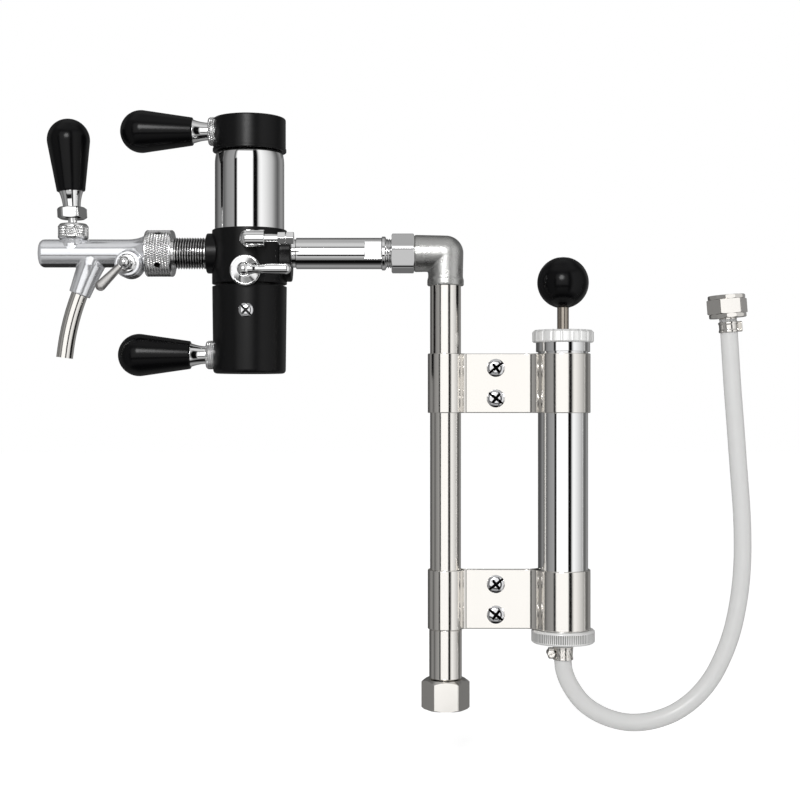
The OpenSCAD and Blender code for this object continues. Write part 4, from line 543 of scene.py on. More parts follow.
make("valve_block", [
    turned([(BLOCK_FOOT, 0), (BLOCK_FOOT, BLOCK_R, 0.4), (BLOCK_TOP, BLOCK_R, 1.5),
            (BLOCK_TOP, RECESS_R, 0.2), (RECESS_FLOOR, RECESS_R), (RECESS_FLOOR, 0)], filler, sides=160),
    turned([(neck_foot, 0), (neck_foot, NECK_R, 0.3), (GROOVE_LOW, NECK_R), (GROOVE_LOW, GROOVE_R),
            (GROOVE_TOP, GROOVE_R), (GROOVE_TOP, NECK_R), (BLOCK_FOOT + 1, NECK_R), (BLOCK_FOOT + 1, 0)],
           filler, sides=128),
    boss(LEFT, ELBOW_Z), boss(RIGHT, ELBOW_Z - BOSS_DROP / 2, stadium(BOSS_DROP / 2))], black_acetal)

# Head tube: drawn and chromed brass, polished to a mirror, let into the block's top. Its
# shoulder rounds in, as a quarter of an ellipse, to a flat top under the selector cap.
SHOULDER_Z, SHOULDER_INSIDE = 374.0, 372
HEAD_TUBE_R, HEAD_BORE, LID_R, LID_BORE, LID_T, STEM_HOLE_R = 23.8, 22.3, 22.1, 20, 3, 5.05
head_low, head_high = heights("head_tube")
shoulder = [(SHOULDER_Z + (head_high - SHOULDER_Z) * math.sin(t),
             LID_R + (HEAD_TUBE_R - LID_R) * math.cos(t), 0) for t in np.linspace(0, np.pi / 2, 14)]
make("head_tube", [turned([
    (head_low, HEAD_BORE), (head_low, HEAD_TUBE_R), *shoulder, (head_high, STEM_HOLE_R),
    (head_high - LID_T, STEM_HOLE_R), (head_high - LID_T, LID_BORE), (SHOULDER_INSIDE, HEAD_BORE)],
    filler, sides=192)], bright_chrome)

# Selector cap: turned black acetal with a small lip round its foot. A flat-bottomed seat in its
# left side takes the handle's locknut.


def side_seat(height, distance, reach=10.2):
    """Flattens the left side to `distance` from the axis over a round seat about that height."""
    def shape(far, radius, angle):
        x, y = radius * np.cos(angle), radius * np.sin(angle)
        on = (x > 0) & (y ** 2 + (far - height) ** 2 < reach ** 2) & (x > distance)
        return far, np.where(on, distance / np.maximum(np.cos(angle), 0.3), radius)
    return shape


cap_low, cap_high = heights("selector_cap")
CAP_AXIS, CAP_SEAT = cap_low + 14.3, 21.9
LIP_R, LIP_H, CAP_SIDE_R = 25.3, 2, 24.9
make("selector_cap", [turned([
    (cap_low, 0), (cap_low, LIP_R, 0.4), (cap_low + LIP_H, LIP_R, 0.4),
    (cap_low + LIP_H + 0.1, CAP_SIDE_R, 0.1), (cap_high, CAP_SIDE_R, 1.0), (cap_high, 0)], filler, fine=0.5,
    skin=20, zero=LEFT, sides=360, shape=side_seat(CAP_AXIS, CAP_SEAT))], black_acetal)

# Handles of the selector, the sleeve and the tap: a moulded black phenolic grip with a ball end,
# a chromed ferrule with a hollowed side, and a knurled locknut between it and its seat.

# Phenolic: compression-moulded and tumbled to a deep gloss
gloss_phenolic = new_material(
    "gloss_phenolic", Base_Color=linear("#070708"), IOR=1.5, Specular_IOR_Level=0.16)
uneven(gloss_phenolic, 70.0, 4.0, rough=(0.14, 0.26))

# Cut chrome: bright chrome over a thread or a knurl, duller, and painted dark in the grooves as painted shade
cut_chrome = new_material("cut_chrome", Metallic=1.0)
recessed(cut_chrome, "#F6F6F6", "#1E1C1A", 0.0008)
uneven(cut_chrome, 90.0, 3.0, rough=(0.13, 0.2))

GRIP_L, BALL_R, GRIP_END_R = 50.0, 14.6, 9.6
FERRULE_L, FERRULE_WIDE, FERRULE_SLIM, FERRULE_HOLLOW = 11.0, 8.3, 6.0, 0.5
LOCKNUT_R, LOCKNUT_H = 9.9, 6.2


def painted_shade(piece, depth):
    """Marks how much painted shade lies on a piece: `depth` gives 0 to 1 for its vertices in millimetres."""
    points = np.empty(len(piece.data.vertices) * 3)
    piece.data.vertices.foreach_get("co", points)
    marks = piece.data.attributes.new("painted_shade", "FLOAT", "POINT")
    amount = depth(*(points.reshape(-1, 3) * 1000).T)
    marks.data.foreach_set("value", np.clip(amount, 0, 1).astype(np.float32))


def in_grooves(axis, centre, skin, depth, low, high):
    """Painted shade that deepens with the depth below the skin of a piece turned about a level (0) or an
    upright (2) axis through `centre`, between the places low and high along it."""
    def amount(*xyz):
        one, two = (xyz[i] for i in range(3) if i != axis)
        radius = np.hypot(one - centre[0], two - centre[1])
        return (skin - radius) / depth * ((xyz[axis] > low) & (xyz[axis] < high))
    return amount


def grip_outline():
    """Half outline of a grip: an eased end, a straight taper tangent to the ball, and the ball."""
    ball_at = GRIP_L - BALL_R
    flare = math.asin(BALL_R / math.hypot(GRIP_END_R, ball_at)) - math.atan2(GRIP_END_R, ball_at)
    ball = arc(BALL_R, -math.degrees(flare), 90, 40, at=ball_at)
    return np.vstack([outline([(0, 0), (0, GRIP_END_R, 0.8), tuple(ball[0])])[:-1], ball])


def ferrule_outline():
    """Half outline of a ferrule, slim end first: its side is hollowed as a parabola."""
    t = np.linspace(0, 1, 14)[1:-1]
    side = np.stack([t * FERRULE_L, FERRULE_SLIM + t * (FERRULE_WIDE - FERRULE_SLIM)
                     - FERRULE_HOLLOW * 4 * t * (1 - t)], -1)
    low = outline([(0, 0), (0, FERRULE_SLIM, 0.2), tuple(side[0])])[:-1]
    high = outline([tuple(side[-1]), (FERRULE_L, FERRULE_WIDE, 0.35), (FERRULE_L, 0)])[1:]
    return np.vstack([low, side, high])


def diamond_knurl(start, end, count, depth, skin):
    """Two crossed sets of V grooves, `count` of each round the piece, that leave diamonds 2.4 times
    as long as wide, between the places start and end, wherever the radius is over `skin`."""
    def shape(far, radius, angle):
        around = count * angle / (2 * np.pi)
        along = far * count / (1.2 * 2 * np.pi * skin)
        one, two = [np.abs((around + way * along / 2) % 1 - 0.5) * 2 for way in (1, -1)]
        ridge = np.clip(1.4 * np.minimum(one, two), 0, 1)
        band = np.clip(np.minimum(far - start, end - far) / 0.3, 0, 1) * (radius > skin)
        return far, radius - depth * band * (1 - ridge)
    return shape


def handle(prefix, seat, direction, lock=True):
    """The three pieces of a handle that stands on `seat` and points along `direction`."""
    seat, step = np.array(seat, float), np.array(direction, float)
    if lock:
        nut = make(prefix + "_locknut", [turned([
            (0, 0), (0, 9.2, 0.5), (1.6, LOCKNUT_R, 1.2), (4.6, LOCKNUT_R, 1.2), (LOCKNUT_H, 9.0, 0.6),
            (LOCKNUT_H, 0)], seat, step, fine=0.2, skin=8.6, sides=320,
            shape=diamond_knurl(0.7, 5.5, 40, 0.5, 8.8))], cut_chrome)
        # Painted shade in the knurl's grooves
        painted_shade(nut, in_grooves(0, seat[1:], LOCKNUT_R, 0.7, seat[0] - 5.0, seat[0] - 1.2))
        seat = seat + LOCKNUT_H * step
    make(prefix + "_ferrule", [lathe(ferrule_outline(), seat, step)], bright_chrome)
    make(prefix + "_grip", [lathe(grip_outline(), seat + FERRULE_L * step, step, sides=128)], gloss_phenolic)


handle("selector", (FILLER_X - CAP_SEAT, 0, CAP_AXIS), LEFT)

# Bottle sleeve: turned black acetal, open below for the bottle's neck, with a slow taper and a
# rounded foot. It turns on the block's neck, held by one screw.
sleeve_low, sleeve_high = heights("bottle_sleeve")
SLEEVE_AXIS, SLEEVE_SEAT = sleeve_low + 12.8, 23.4
MOUTH_R, MOUTH_TOP, SLEEVE_BORE = 18, 259, NECK_R + 0.05
make("bottle_sleeve", [turned([
    (sleeve_low, MOUTH_R, 0.5), (sleeve_low, 24.9, 2.5), (sleeve_high, 25.6, 0.4),
    (sleeve_high, SLEEVE_BORE, 0.3), (MOUTH_TOP, SLEEVE_BORE), (MOUTH_TOP, MOUTH_R)], filler, fine=0.5,
    skin=20, zero=LEFT, sides=360, shape=side_seat(SLEEVE_AXIS, SLEEVE_SEAT))], black_acetal)
handle("sleeve", (FILLER_X - SLEEVE_SEAT, 0, SLEEVE_AXIS), LEFT)

# Screws: pan-head machine screws with a pressed cross recess, bright zinc plated. One holds the
# sleeve, and two go through each clamp with a hexagonal nut behind.
SLOT_HALF, ARM_REACH, DOME_FALL = 0.15, 0.62, 0.5


def screw_head(foot, radius, height, turn):
    """A domed head that faces the front: its height falls as the fourth power of the radius. A slot
    runs right across at `turn` degrees, and a shorter arm crosses it, for either kind of driver."""
    rings = np.linspace(0, 1, 40) ** 0.9 * radius
    dome = np.stack([height * (1 - (rings / radius) ** 4 * DOME_FALL), rings], -1)[::-1]
    points = np.vstack([outline([(0, 0), (0, radius, 0.2), tuple(dome[0])])[:-1], dome])

    def cross(far, rad, angle):
        x = np.abs(rad * np.cos(angle - math.radians(turn))) / radius
        y = np.abs(rad * np.sin(angle - math.radians(turn))) / radius
        long_arm = np.clip((0.8 * SLOT_HALF - y) / 0.04, 0, 1) * 0.4
        centre = np.clip((ARM_REACH - rad / radius) / 0.08, 0, 1)
        cross_arms = np.clip((SLOT_HALF - np.minimum(x, y)) / 0.05, 0, 1) * centre * 0.9
        return far - height * np.maximum(long_arm, cross_arms) * (far > 0.5 * height), rad
    return lathe(points, foot, FRONT, sides=180, shape=cross)


def in_cross(x, y, z, foot, radius, height):
    """Painted shade in the recess of a screw's head: full half a millimetre below the dome."""
    out = np.hypot(x - foot[0], z - foot[2]) / radius
    depth = height * (1 - out ** 4 * DOME_FALL) - (foot[1] - y)
    return depth / 0.5 * ((out < 0.93) & (foot[1] - y > 0.02 * height))


def bar(foot, radius, length):
    """A plain round bar that points to the front."""
    corners = [(0, 0), (0, radius, 0.2), (length, radius, 0.3), (length, 0)]
    return turned(corners, foot, FRONT, sides=48)


# Bright zinc: cooler and a little duller than chrome
bright_zinc = new_material("bright_zinc", Metallic=1.0)
# Its colour falls to a painted shade, nearly black, where the piece hems itself in and in the marked cross
# recesses
recessed(bright_zinc, "#E4E4E6", "#050505")
uneven(bright_zinc, 200.0, 3.0, rough=(0.07, 0.14))

SLEEVE_SCREW_Z = 273.0
sleeve_head = ((FILLER_X, -24.1, SLEEVE_SCREW_Z), 4.95, 2.4)
screw = make("sleeve_screw", [screw_head(*sleeve_head, 45), bar((FILLER_X, -18.6, SLEEVE_SCREW_Z), 1.7, 5.6)],
             bright_zinc)
# Painted shade in the screw's cross recess
painted_shade(screw, lambda x, y, z: in_cross(x, y, z, *sleeve_head))

# Vent: a dished chromed flange screwed into the block's front, and a cast lever whose round bar
# is waisted beside its hub.
VENT_Z = 299.5
VENT_BACK, VENT_FRONT, DISH_DEPTH, VENT_R, DISH_R = 26.1, 29.7, 1.6, 10.3, 4.6
VENT_TUBE_END, VENT_NECK_AT, VENT_NECK_R, VENT_BORE = 15.3, 24.3, 7, 2.55
make("vent_flange", [turned([
    (VENT_TUBE_END, VENT_BORE), (VENT_TUBE_END, DISH_R), (VENT_NECK_AT, DISH_R), (VENT_NECK_AT, VENT_NECK_R),
    (VENT_BACK, VENT_NECK_R), (VENT_BACK, VENT_R - 0.7), (VENT_BACK + 0.7, VENT_R, 0.3),
    (VENT_FRONT - 0.3, VENT_R, 0.3), (VENT_FRONT, 9.2, 0.6), (VENT_FRONT - DISH_DEPTH, DISH_R, 0.8),
    (VENT_FRONT - DISH_DEPTH, VENT_BORE)], (FILLER_X, 0, VENT_Z), FRONT)], bright_chrome)
VENT_BAR_R, VENT_REACH, VENT_HUB_R = 3.65, 31.5, 4.6
WAIST_AT, WAIST_L, WAIST_DEPTH = 9.2, 3.2, 0.9
vent_bar_y = span("vent_lever")[0][1] + VENT_HUB_R
along = np.linspace(0, VENT_REACH - VENT_BAR_R, 40)
waisted = np.stack([along, VENT_BAR_R - WAIST_DEPTH * np.exp(-((along - WAIST_AT) / WAIST_L) ** 2)], -1)
vent_bar = np.vstack([[(0, 0)], waisted, arc(VENT_BAR_R, 0, 90, 16, at=VENT_REACH - VENT_BAR_R)])
hub = np.vstack([
    outline([(16.3, 0), (16.3, 2.5), (28.5, 2.5), (28.5, VENT_HUB_R, 0.4), (-vent_bar_y - 0.5, VENT_HUB_R)]),
    arc(VENT_HUB_R, 0, 90, 14, at=-vent_bar_y)])
make("vent_lever", [lathe(hub, (FILLER_X, 0, VENT_Z), FRONT, sides=64),
                    lathe(vent_bar, (FILLER_X, vent_bar_y, VENT_Z), RIGHT, sides=64)], bright_chrome)

# Gas fitting: a chromed elbow with a round end, a slim neck and a hexagon split by a groove,
# screwed into the block above the vent.
GAS_X, GAS_Y, GAS_Z = -132.8, -36.0, 319.8
GAS_R, GAS_BORE, GAS_HEX_R, GAS_NECK_R = 5.65, 2.05, 4.62, 2.9
gas_at = (GAS_X, GAS_Y, GAS_Z)
gas_body = np.vstack([arc(GAS_R, -90, 0, 20), outline([
    (0, GAS_R), (2 * GAS_R, GAS_R, 0.5), (2 * GAS_R, GAS_NECK_R, 0.3), (20.5, GAS_NECK_R), (20.5, 0)])[1:]])
make("gas_elbow", [
    lathe(gas_body, gas_at, RIGHT),
    turned([(20.2, GAS_BORE), (20.2, 4.1, 0.2), (20.8, GAS_HEX_R, 0.1), (25.1, GAS_HEX_R, 0.1),
            (25.2, 3.5, 0.1), (25.9, 3.5, 0.1), (26, GAS_HEX_R, 0.1), (30.2, GAS_HEX_R, 0.1),
            (30.8, 4.0, 0.2), (30.8, GAS_BORE)], gas_at, RIGHT, fine=0.25, zero=UP, sides=180,
            shape=hexagon(8, 30, 0.5)),
    bar((GAS_X, -16.8, GAS_Z), 4, 19.2)], bright_chrome)

# Tap shank: chromed brass tube screwed into the valve block. Its thread shows between the block
# and the coupling nut, and its flange lies inside the nut.
shank_right = span("tap_shank")[1][0]
SHANK_FACE, NUT_X = -164.4, -187.3
SHANK_BORE, SHANK_R, SHANK_INNER_R, SHANK_THREAD_L = 5, 10.8, 9.6, 23
SHANK_FLANGE_R, FLANGE_NEAR, FLANGE_FAR = 13.2, 26.4, 28.9
face = shank_right - SHANK_FACE
shank = make("tap_shank", [turned([
    (0, SHANK_BORE), (0, SHANK_INNER_R), (face, SHANK_INNER_R), (face, SHANK_R, 0.2),
    (face + SHANK_THREAD_L, SHANK_R, 0), (face + FLANGE_NEAR, SHANK_R), (face + FLANGE_NEAR, SHANK_FLANGE_R),
    (face + FLANGE_FAR, SHANK_FLANGE_R), (face + FLANGE_FAR, SHANK_BORE)], (shank_right, 0, ELBOW_Z), LEFT,
    fine=0.15, skin=10, within=(face, face + SHANK_THREAD_L - 0.1), sides=128,
    shape=thread(face + 0.3, face + 22.2, 1.81, 1.3))], cut_chrome)
# Painted shade in the thread's roots
painted_shade(shank, in_grooves(0, (0, ELBOW_Z), 10.7, 1.3, SHANK_FACE - 22.3, SHANK_FACE - 0.2))

# Coupling nut: chromed brass with a diamond knurl and four holes for a hook wrench. It draws the
# tap's rear thread against the shank's flange.

NUT_R, NUT_L, NUT_BORE, NUT_HOLE_R, NUT_WALL = 16.0, 18.9, 13.95, 10.85, 3.5
HOLE_R, HOLE_TURN, HOLE_DEPTH = 2.0, math.radians(-35), 2.0
nut_knurl = diamond_knurl(1.4, NUT_L - 1.4, 60, 0.5, 15.2)


def knurl_and_holes(far, radius, angle):
    """The nut's knurl, and four round blind holes half way along it."""
    around = (angle - HOLE_TURN + np.pi / 4) % (np.pi / 2) - np.pi / 4
    from_hole = np.hypot(around * NUT_R, far - NUT_L / 2)
    hole = np.clip((HOLE_R - from_hole) / 0.15, 0, 1) * (radius > 15)
    clear = from_hole > HOLE_R + 0.2
    return far, np.where(clear, nut_knurl(far, radius, angle)[1], radius) - HOLE_DEPTH * hole


nut = make("coupling_nut", [turned([
    (0, NUT_HOLE_R), *chamfered(0, NUT_L, NUT_R, 0.7, 0.8, 0.4, 0.3), (NUT_L, NUT_BORE), (NUT_WALL, NUT_BORE),
    (NUT_WALL, NUT_HOLE_R)], (NUT_X, 0, ELBOW_Z), LEFT, fine=0.22, skin=15, zero=UP, sides=480,
    shape=knurl_and_holes)], cut_chrome)
# Painted shade in the knurl's grooves
painted_shade(nut, in_grooves(0, (0, ELBOW_Z), NUT_R, 0.7, NUT_X - NUT_L + 1.2, NUT_X - 1.2))

# Tap body: chromed brass casting. A trumpet flare leads from the nut to the barrel, with a boss
# for the flow control, a neck for the bonnet and a tilted nozzle for the spout.


def ramp(owner, source, stops):
    """A colour ramp of greys: stops are (position, sRGB grey from 0 to 255)."""
    made = add(owner, "ValToRGB", i0=source)
    elements = made.color_ramp.elements
    while len(elements) < len(stops):
        elements.new(0.5)
    for element, (place, grey) in zip(elements, stops):
        element.position = place
        element.color = linear("#" + 3 * format(int(grey), "02X"))
    return made


# Satin chrome: plate over a cast and linished body, which scatters part of the light. Its colour is darkened
# in its hollows as painted shade, painted nearly black on the underside as a painted reflection of the dark
# below the bench, and painted a little darker where it faces straight up, also a painted reflection
satin_chrome = new_material("satin_chrome", Metallic=0.75)
tint = recessed(satin_chrome, "#EDEEF1", "#222226", 0.003)
facing = add(satin_chrome, "SeparateXYZ", Vector=add(satin_chrome, "NewGeometry").outputs["Normal"])
facing = add(satin_chrome, "MapRange", i0=facing.outputs["Z"], i1=-1.0, i2=1.0)
shade = ramp(satin_chrome, facing, [(0.0, 60), (0.09, 50), (0.15, 255), (0.95, 255), (1.0, 150)])
under = add(satin_chrome, "Mix", {"data_type": "RGBA", "blend_type": "MULTIPLY"}, i0=1.0, i6=tint, i7=shade)
finish(satin_chrome, Base_Color=under.outputs[2])
uneven(satin_chrome, 120.0, 4.0, rough=(0.14, 0.18))

BARREL_R, BARREL_L, BARREL_EDGE = 9.65, 73.5, 3.5
REAR_R, REAR_THREAD_R = 13.1, 13.9
PIVOT_X, PIVOT_Z = -256.7, 325.8
BONNET_FOOT = 323.2
FLOW_X, FLOW_Z, FLOW_BOSS_R, FLOW_RING_R, FLOW_FACE = -216.5, 305.0, 9.4, 8.5, 16.5
NOZZLE_X, NOZZLE_Z, NOZZLE_TILT, NOZZLE_R = -252.4, 285.0, math.radians(21), 7.35
SPOUT_R = 5.65
flare = np.linspace(0, 1, 30)[:, None]
flare = np.hstack([-0.6 + 15 * flare, BARREL_R + (REAR_R - BARREL_R) * (1 - flare) ** 2.6])
barrel = np.vstack([
    outline([(-12.8, 0), (-12.8, REAR_THREAD_R), (-0.9, REAR_THREAD_R, 0.3), (-0.6, REAR_R)])[:-1], flare,
    arc(BARREL_EDGE, 0, 90, 12, at=BARREL_L - BARREL_EDGE, out=BARREL_R - BARREL_EDGE), [(BARREL_L, 0)]])
nozzle_up = np.array([math.sin(NOZZLE_TILT), 0, math.cos(NOZZLE_TILT)])
rise = np.linspace(0, 1, 24)[:, None]
taper = np.hstack([22 * rise, NOZZLE_R + 1.7 * rise + 0.4 * np.clip((rise - 0.7) / 0.3, 0, 1) ** 2])
nozzle = np.vstack([
    [(2, 0), (2, SPOUT_R + 0.05)], outline([(0, SPOUT_R + 0.05), (0, NOZZLE_R, 0.5), tuple(taper[1])])[:-1],
    taper[1:], [(29, 9.1), (31, 7), (31, 0)]])
fused(make("tap_body", [
    lathe(barrel, (NUT_X - NUT_L, 0, ELBOW_Z), LEFT, sides=160),
    lathe(nozzle, (NOZZLE_X, 0, NOZZLE_Z), nozzle_up, sides=128),
    turned([(ELBOW_Z, 0), (ELBOW_Z, 9.3), (ELBOW_Z + 6, 9.3, 2), (BONNET_FOOT, 8.0, 0.4), (324.5, 8.0),
            (324.5, 0)],
           (PIVOT_X, 0, 0), fine=1.0, sides=128),
    turned([(-1.8, 0), (-1.8, FLOW_BOSS_R, 1.5), (13.5, FLOW_BOSS_R, 0.4), (13.6, FLOW_RING_R, 0.2),
            (FLOW_FACE, FLOW_RING_R, 0.6), (FLOW_FACE, 0)],
           (FLOW_X, 0, FLOW_Z), FRONT, sides=128)], satin_chrome), 0.42, 5)

# Spout: bent stainless tube, 11.3 mm across, pressed into the nozzle. It leaves along the nozzle's
# tilt, and the bend brings it nearly upright, with a short straight end.
SPOUT_BORE, SPOUT_BEND, SPOUT_END = 4.75, 165.0, 6.0
end_tilt = math.radians(7.5)
swing = np.linspace(NOZZLE_TILT, end_tilt, 40)
bent = np.stack([NOZZLE_X + SPOUT_BEND * (math.cos(NOZZLE_TILT) - np.cos(swing)), 0 * swing,
                 NOZZLE_Z + SPOUT_BEND * (np.sin(swing) - math.sin(NOZZLE_TILT))], -1)
straight = bent[-1] - np.outer(np.linspace(0, SPOUT_END, 8)[1:], (math.sin(end_tilt), 0, math.cos(end_tilt)))
spout_path = np.vstack([[bent[0] + nozzle_up * 9.5], bent, straight])
make("tap_spout", [tube(spout_path, SPOUT_R, SPOUT_BORE, 64)], polished_stainless)

# Tap handle: the bonnet traps a ball lever, which carries a hexagonal locknut, a ferrule and a
# grip. It leans a little to the left at rest.


def ball_side(radius, start, end, count, at=0.0):
    """Outline points of a ball about `at`, spread evenly along the axis from start to end."""
    far = np.linspace(start, end, count)
    return np.stack([at + far, np.sqrt(np.maximum(radius ** 2 - far ** 2, 0))], -1)


LEAN = math.radians(2.9)
BONNET_R, BONNET_BORE, BALL_SEAT_R = 10.35, 8.25, 5.0
BONNET_FLOOR, BONNET_TOP, KNURL_LOW, KNURL_TOP = 328.4, 333.8, 324.8, 331.2
lever_up = np.array([-math.sin(LEAN), 0, math.cos(LEAN)])
pivot = np.array([PIVOT_X, 0, PIVOT_Z])
bonnet = make("tap_bonnet", [turned([
    (BONNET_FOOT, BONNET_BORE), (BONNET_FOOT, 9.4, 0.4), (BONNET_FOOT + 1, BONNET_R, 0.6),
    (332.0, BONNET_R, 1.0), (BONNET_TOP, 8.9, 0.8), (BONNET_TOP, 8.0, 0.3), (329.3, BALL_SEAT_R, 0.2),
    (BONNET_FLOOR, BALL_SEAT_R), (BONNET_FLOOR, BONNET_BORE)], (PIVOT_X, 0, 0), fine=0.2, skin=9.5,
    sides=352, shape=diamond_knurl(KNURL_LOW, KNURL_TOP, 44, 0.45, 10.2))], cut_chrome)
# Painted shade in the knurl's grooves
painted_shade(bonnet, in_grooves(2, (PIVOT_X, 0), BONNET_R, 0.8, KNURL_LOW, KNURL_TOP))
TAIL_END, TAIL_R, TAIL_BALL_R, LEVER_BALL_R = -12.4, 2.2, 2.35, 5.6
LOCK_AT, LOCK_H, LOCK_R = 11.2, 8.3, 10.62
lever = np.vstack([arc(TAIL_BALL_R, -90, 20, 16, at=TAIL_END),
                   ball_side(LEVER_BALL_R, -math.sqrt(LEVER_BALL_R ** 2 - TAIL_R ** 2), 4.7, 26),
                   [(LOCK_AT, 3.0), (LOCK_AT, 0)]])
make("tap_lever", [lathe(lever, pivot, lever_up, sides=64)], bright_chrome)
make("tap_locknut", [turned([
    (0, 0), (0, 8.0, 0.6), (1.6, LOCK_R, 0.6), (6.7, LOCK_R, 0.6), (LOCK_H, 8.3, 0.6), (LOCK_H, 0)],
    pivot + LOCK_AT * lever_up, lever_up, fine=0.3, skin=7, zero=RIGHT, sides=360,
    shape=hexagon(18.4, 0, 2.5))], bright_chrome)
handle("tap", pivot + (LOCK_AT + LOCK_H) * lever_up, lever_up, lock=False)

# Flow control: a ringed bush in the boss, and a small cast lever with a ball hub and a flat
# blade that points down and to the left.
flow_at = (FLOW_X, 0, FLOW_Z)
FLOW_BORE, BUSH_FIT_R, BUSH_RING_R, BUSH_END = 2.25, 5.65, 6.6, 19.1
make("flow_bush", [turned([
    (9.5, FLOW_BORE), (9.5, BUSH_FIT_R), (FLOW_FACE, BUSH_FIT_R), (FLOW_FACE, BUSH_RING_R, 0.2),
    (BUSH_END - 1, BUSH_RING_R, 0.4), (BUSH_END, BUSH_RING_R - 1, 0.3), (BUSH_END, FLOW_BORE)],
    flow_at, FRONT)], bright_chrome)
HUB_Y, HUB_R = 27.0, 3.9
BLADE_L, BLADE_ROOT, BLADE_END, BLADE_T, BLADE_TURN = 26.0, 4.5, 7.2, 2.4, math.radians(-135)


def second_finish(piece, material, chosen):
    """Another finish for the faces that `chosen` picks by their centres in millimetres."""
    centres = np.empty(len(piece.data.polygons) * 3)
    piece.data.polygons.foreach_get("center", centres)
    piece.data.materials.append(material)
    picked = chosen(*(centres.reshape(-1, 3) * 1000).T)
    piece.data.polygons.foreach_set("material_index", picked.astype(np.int32))


def blade():
    """A flat blade seen from the front: its width grows evenly from root to end, the end is a half
    circle, and both faces are slightly domed. Rings shrink from the outline to the middle of each face."""
    root, end, end_at = BLADE_ROOT / 2, BLADE_END / 2, BLADE_L - BLADE_END / 2
    tip = arc(end, -90, 90, 24)[:, ::-1] + (end_at, 0)
    edge = np.vstack([np.linspace((0, -root), tip[0], 12)[:-1], tip, np.linspace(tip[-1], (0, root), 12)[1:],
                      np.linspace((0, root), (0, -root), 6)[1:-1]])
    spine = np.stack([np.clip(edge[:, 0], root, end_at), 0 * edge[:, 0]], -1)
    rings = [(k, BLADE_T / 2 - 0.85 * k ** 2) for k in (0.0, 0.2, 0.4, 0.6, 0.8, 0.92, 1.0)]
    rings += [(k, -h) for k, h in rings[::-1]]
    x, z = np.moveaxis(np.stack([spine + (edge - spine) * k for k, _ in rings]), -1, 0)
    y = -HUB_Y - np.array([h for _, h in rings])[:, None] + 0 * x
    c, s = math.cos(BLADE_TURN), math.sin(BLADE_TURN)
    return np.stack([FLOW_X + c * x - s * z, y, FLOW_Z + s * x + c * z], -1), False


# Linished nickel: the blade's faces are belt-finished and greyer than the chrome
linished_nickel = new_material("linished_nickel", Base_Color=linear("#B2B0AE"), Metallic=1.0)
uneven(linished_nickel, 250.0, 3.0, rough=(0.18, 0.3))

flow_hub = np.vstack([[(7, 0), (7, 4.8), (9, 4.8), (9, 2.2)], arc(HUB_R, -70, 90, 30, at=HUB_Y)])
crank_pin = bar((FLOW_X, -0.6, FLOW_Z + 3.5), 1.2, 7.9)
lever = make("flow_lever", [lathe(flow_hub, flow_at, FRONT, sides=64), crank_pin, blade()], bright_chrome)
second_finish(lever, linished_nickel, lambda x, y, z: np.hypot(x - FLOW_X, z - FLOW_Z) > HUB_R + 0.6)

# Pump: chromed barrel between a fluted cap and a knurled base, a polished rod through the cap's
# bush, and a gloss black ball knob.

# Frosted nickel: the cap and the base are blasted before plating, so they look nearly white
frosted_nickel = new_material("frosted_nickel", Metallic=0.45, Roughness=0.28)
# Its colour is darkened to a painted shade where the piece hems itself in and in the marked knurl roots
recessed(frosted_nickel, "#F7F7F6", "#6A6A68", 0.001)
uneven(frosted_nickel, 700.0, 3.0, bumps=(0.1, 0.0002))

# Ground steel: the rod is darker than the rest, with a film of grease
ground_steel = new_material("ground_steel", Base_Color=linear("#A69E94"), Metallic=1.0)
uneven(ground_steel, 150.0, 3.0, rough=(0.1, 0.22))

PUMP_X = 81.0
pump = (PUMP_X, 0, 0)
PUMP_R, PUMP_BORE, PUMP_NECK = 17.2, 15.7, 17.25
barrel_low, barrel_high = heights("pump_barrel")
make("pump_barrel", [turned([(barrel_low, PUMP_BORE), (barrel_low, PUMP_R), (barrel_high, PUMP_R),
                             (barrel_high, PUMP_BORE)], pump, sides=192)], bright_chrome)

CAP_R, SKIRT_R, CAP_ROOF, BUSH_HOLE_R = 21.1, 18.6, 4.5, 7.55
CAP_FLUTES, FLUTE_HALF, FLUTE_DEPTH = 20, 1.3, 0.5
cap_low, cap_high = heights("pump_cap")
rim_z = cap_high - 8.5


def flutes(far, radius, angle):
    """Round flutes cut along the rim, wide apart: their depth falls as a parabola to each side."""
    pitch = 2 * np.pi / CAP_FLUTES
    across = (angle % pitch - pitch / 2) * CAP_R
    groove = FLUTE_DEPTH * np.clip(1 - (across / FLUTE_HALF) ** 2, 0, 1)
    return far, radius - groove * np.clip((radius - 19.4) / 0.2, 0, 1)


cap = make("pump_cap", [turned([
    (cap_low, PUMP_NECK), (cap_low, SKIRT_R, 0.4), (rim_z, SKIRT_R, 0.3), (rim_z, CAP_R - 0.8, 0.3),
    (rim_z + 0.8, CAP_R, 0.3), (cap_high - 1.5, CAP_R, 0.4), (cap_high, CAP_R - 1.5, 0.5),
    (cap_high, BUSH_HOLE_R, 0.3), (cap_high - CAP_ROOF, BUSH_HOLE_R), (cap_high - CAP_ROOF, PUMP_NECK)],
    pump, sides=400, shape=flutes)], frosted_nickel)
second_finish(cap, bright_chrome, lambda x, y, z: z < rim_z - 0.05)

BASE_R, BASE_BORE, BASE_FLOOR, BASE_BAND, BASE_TEETH = 21.8, 5.05, 3.5, 1.3, 90
base_low, base_high = heights("pump_base")


def base_knurl(far, radius, angle):
    """A fine straight knurl between plain bands: the radius dips as a cosine round the base."""
    band_on = np.clip(np.minimum(far - base_low - BASE_BAND, base_high - BASE_BAND - far) / 0.4, 0, 1)
    return far, radius - 0.35 * band_on * (0.5 - 0.5 * np.cos(BASE_TEETH * angle)) * (radius > 20)


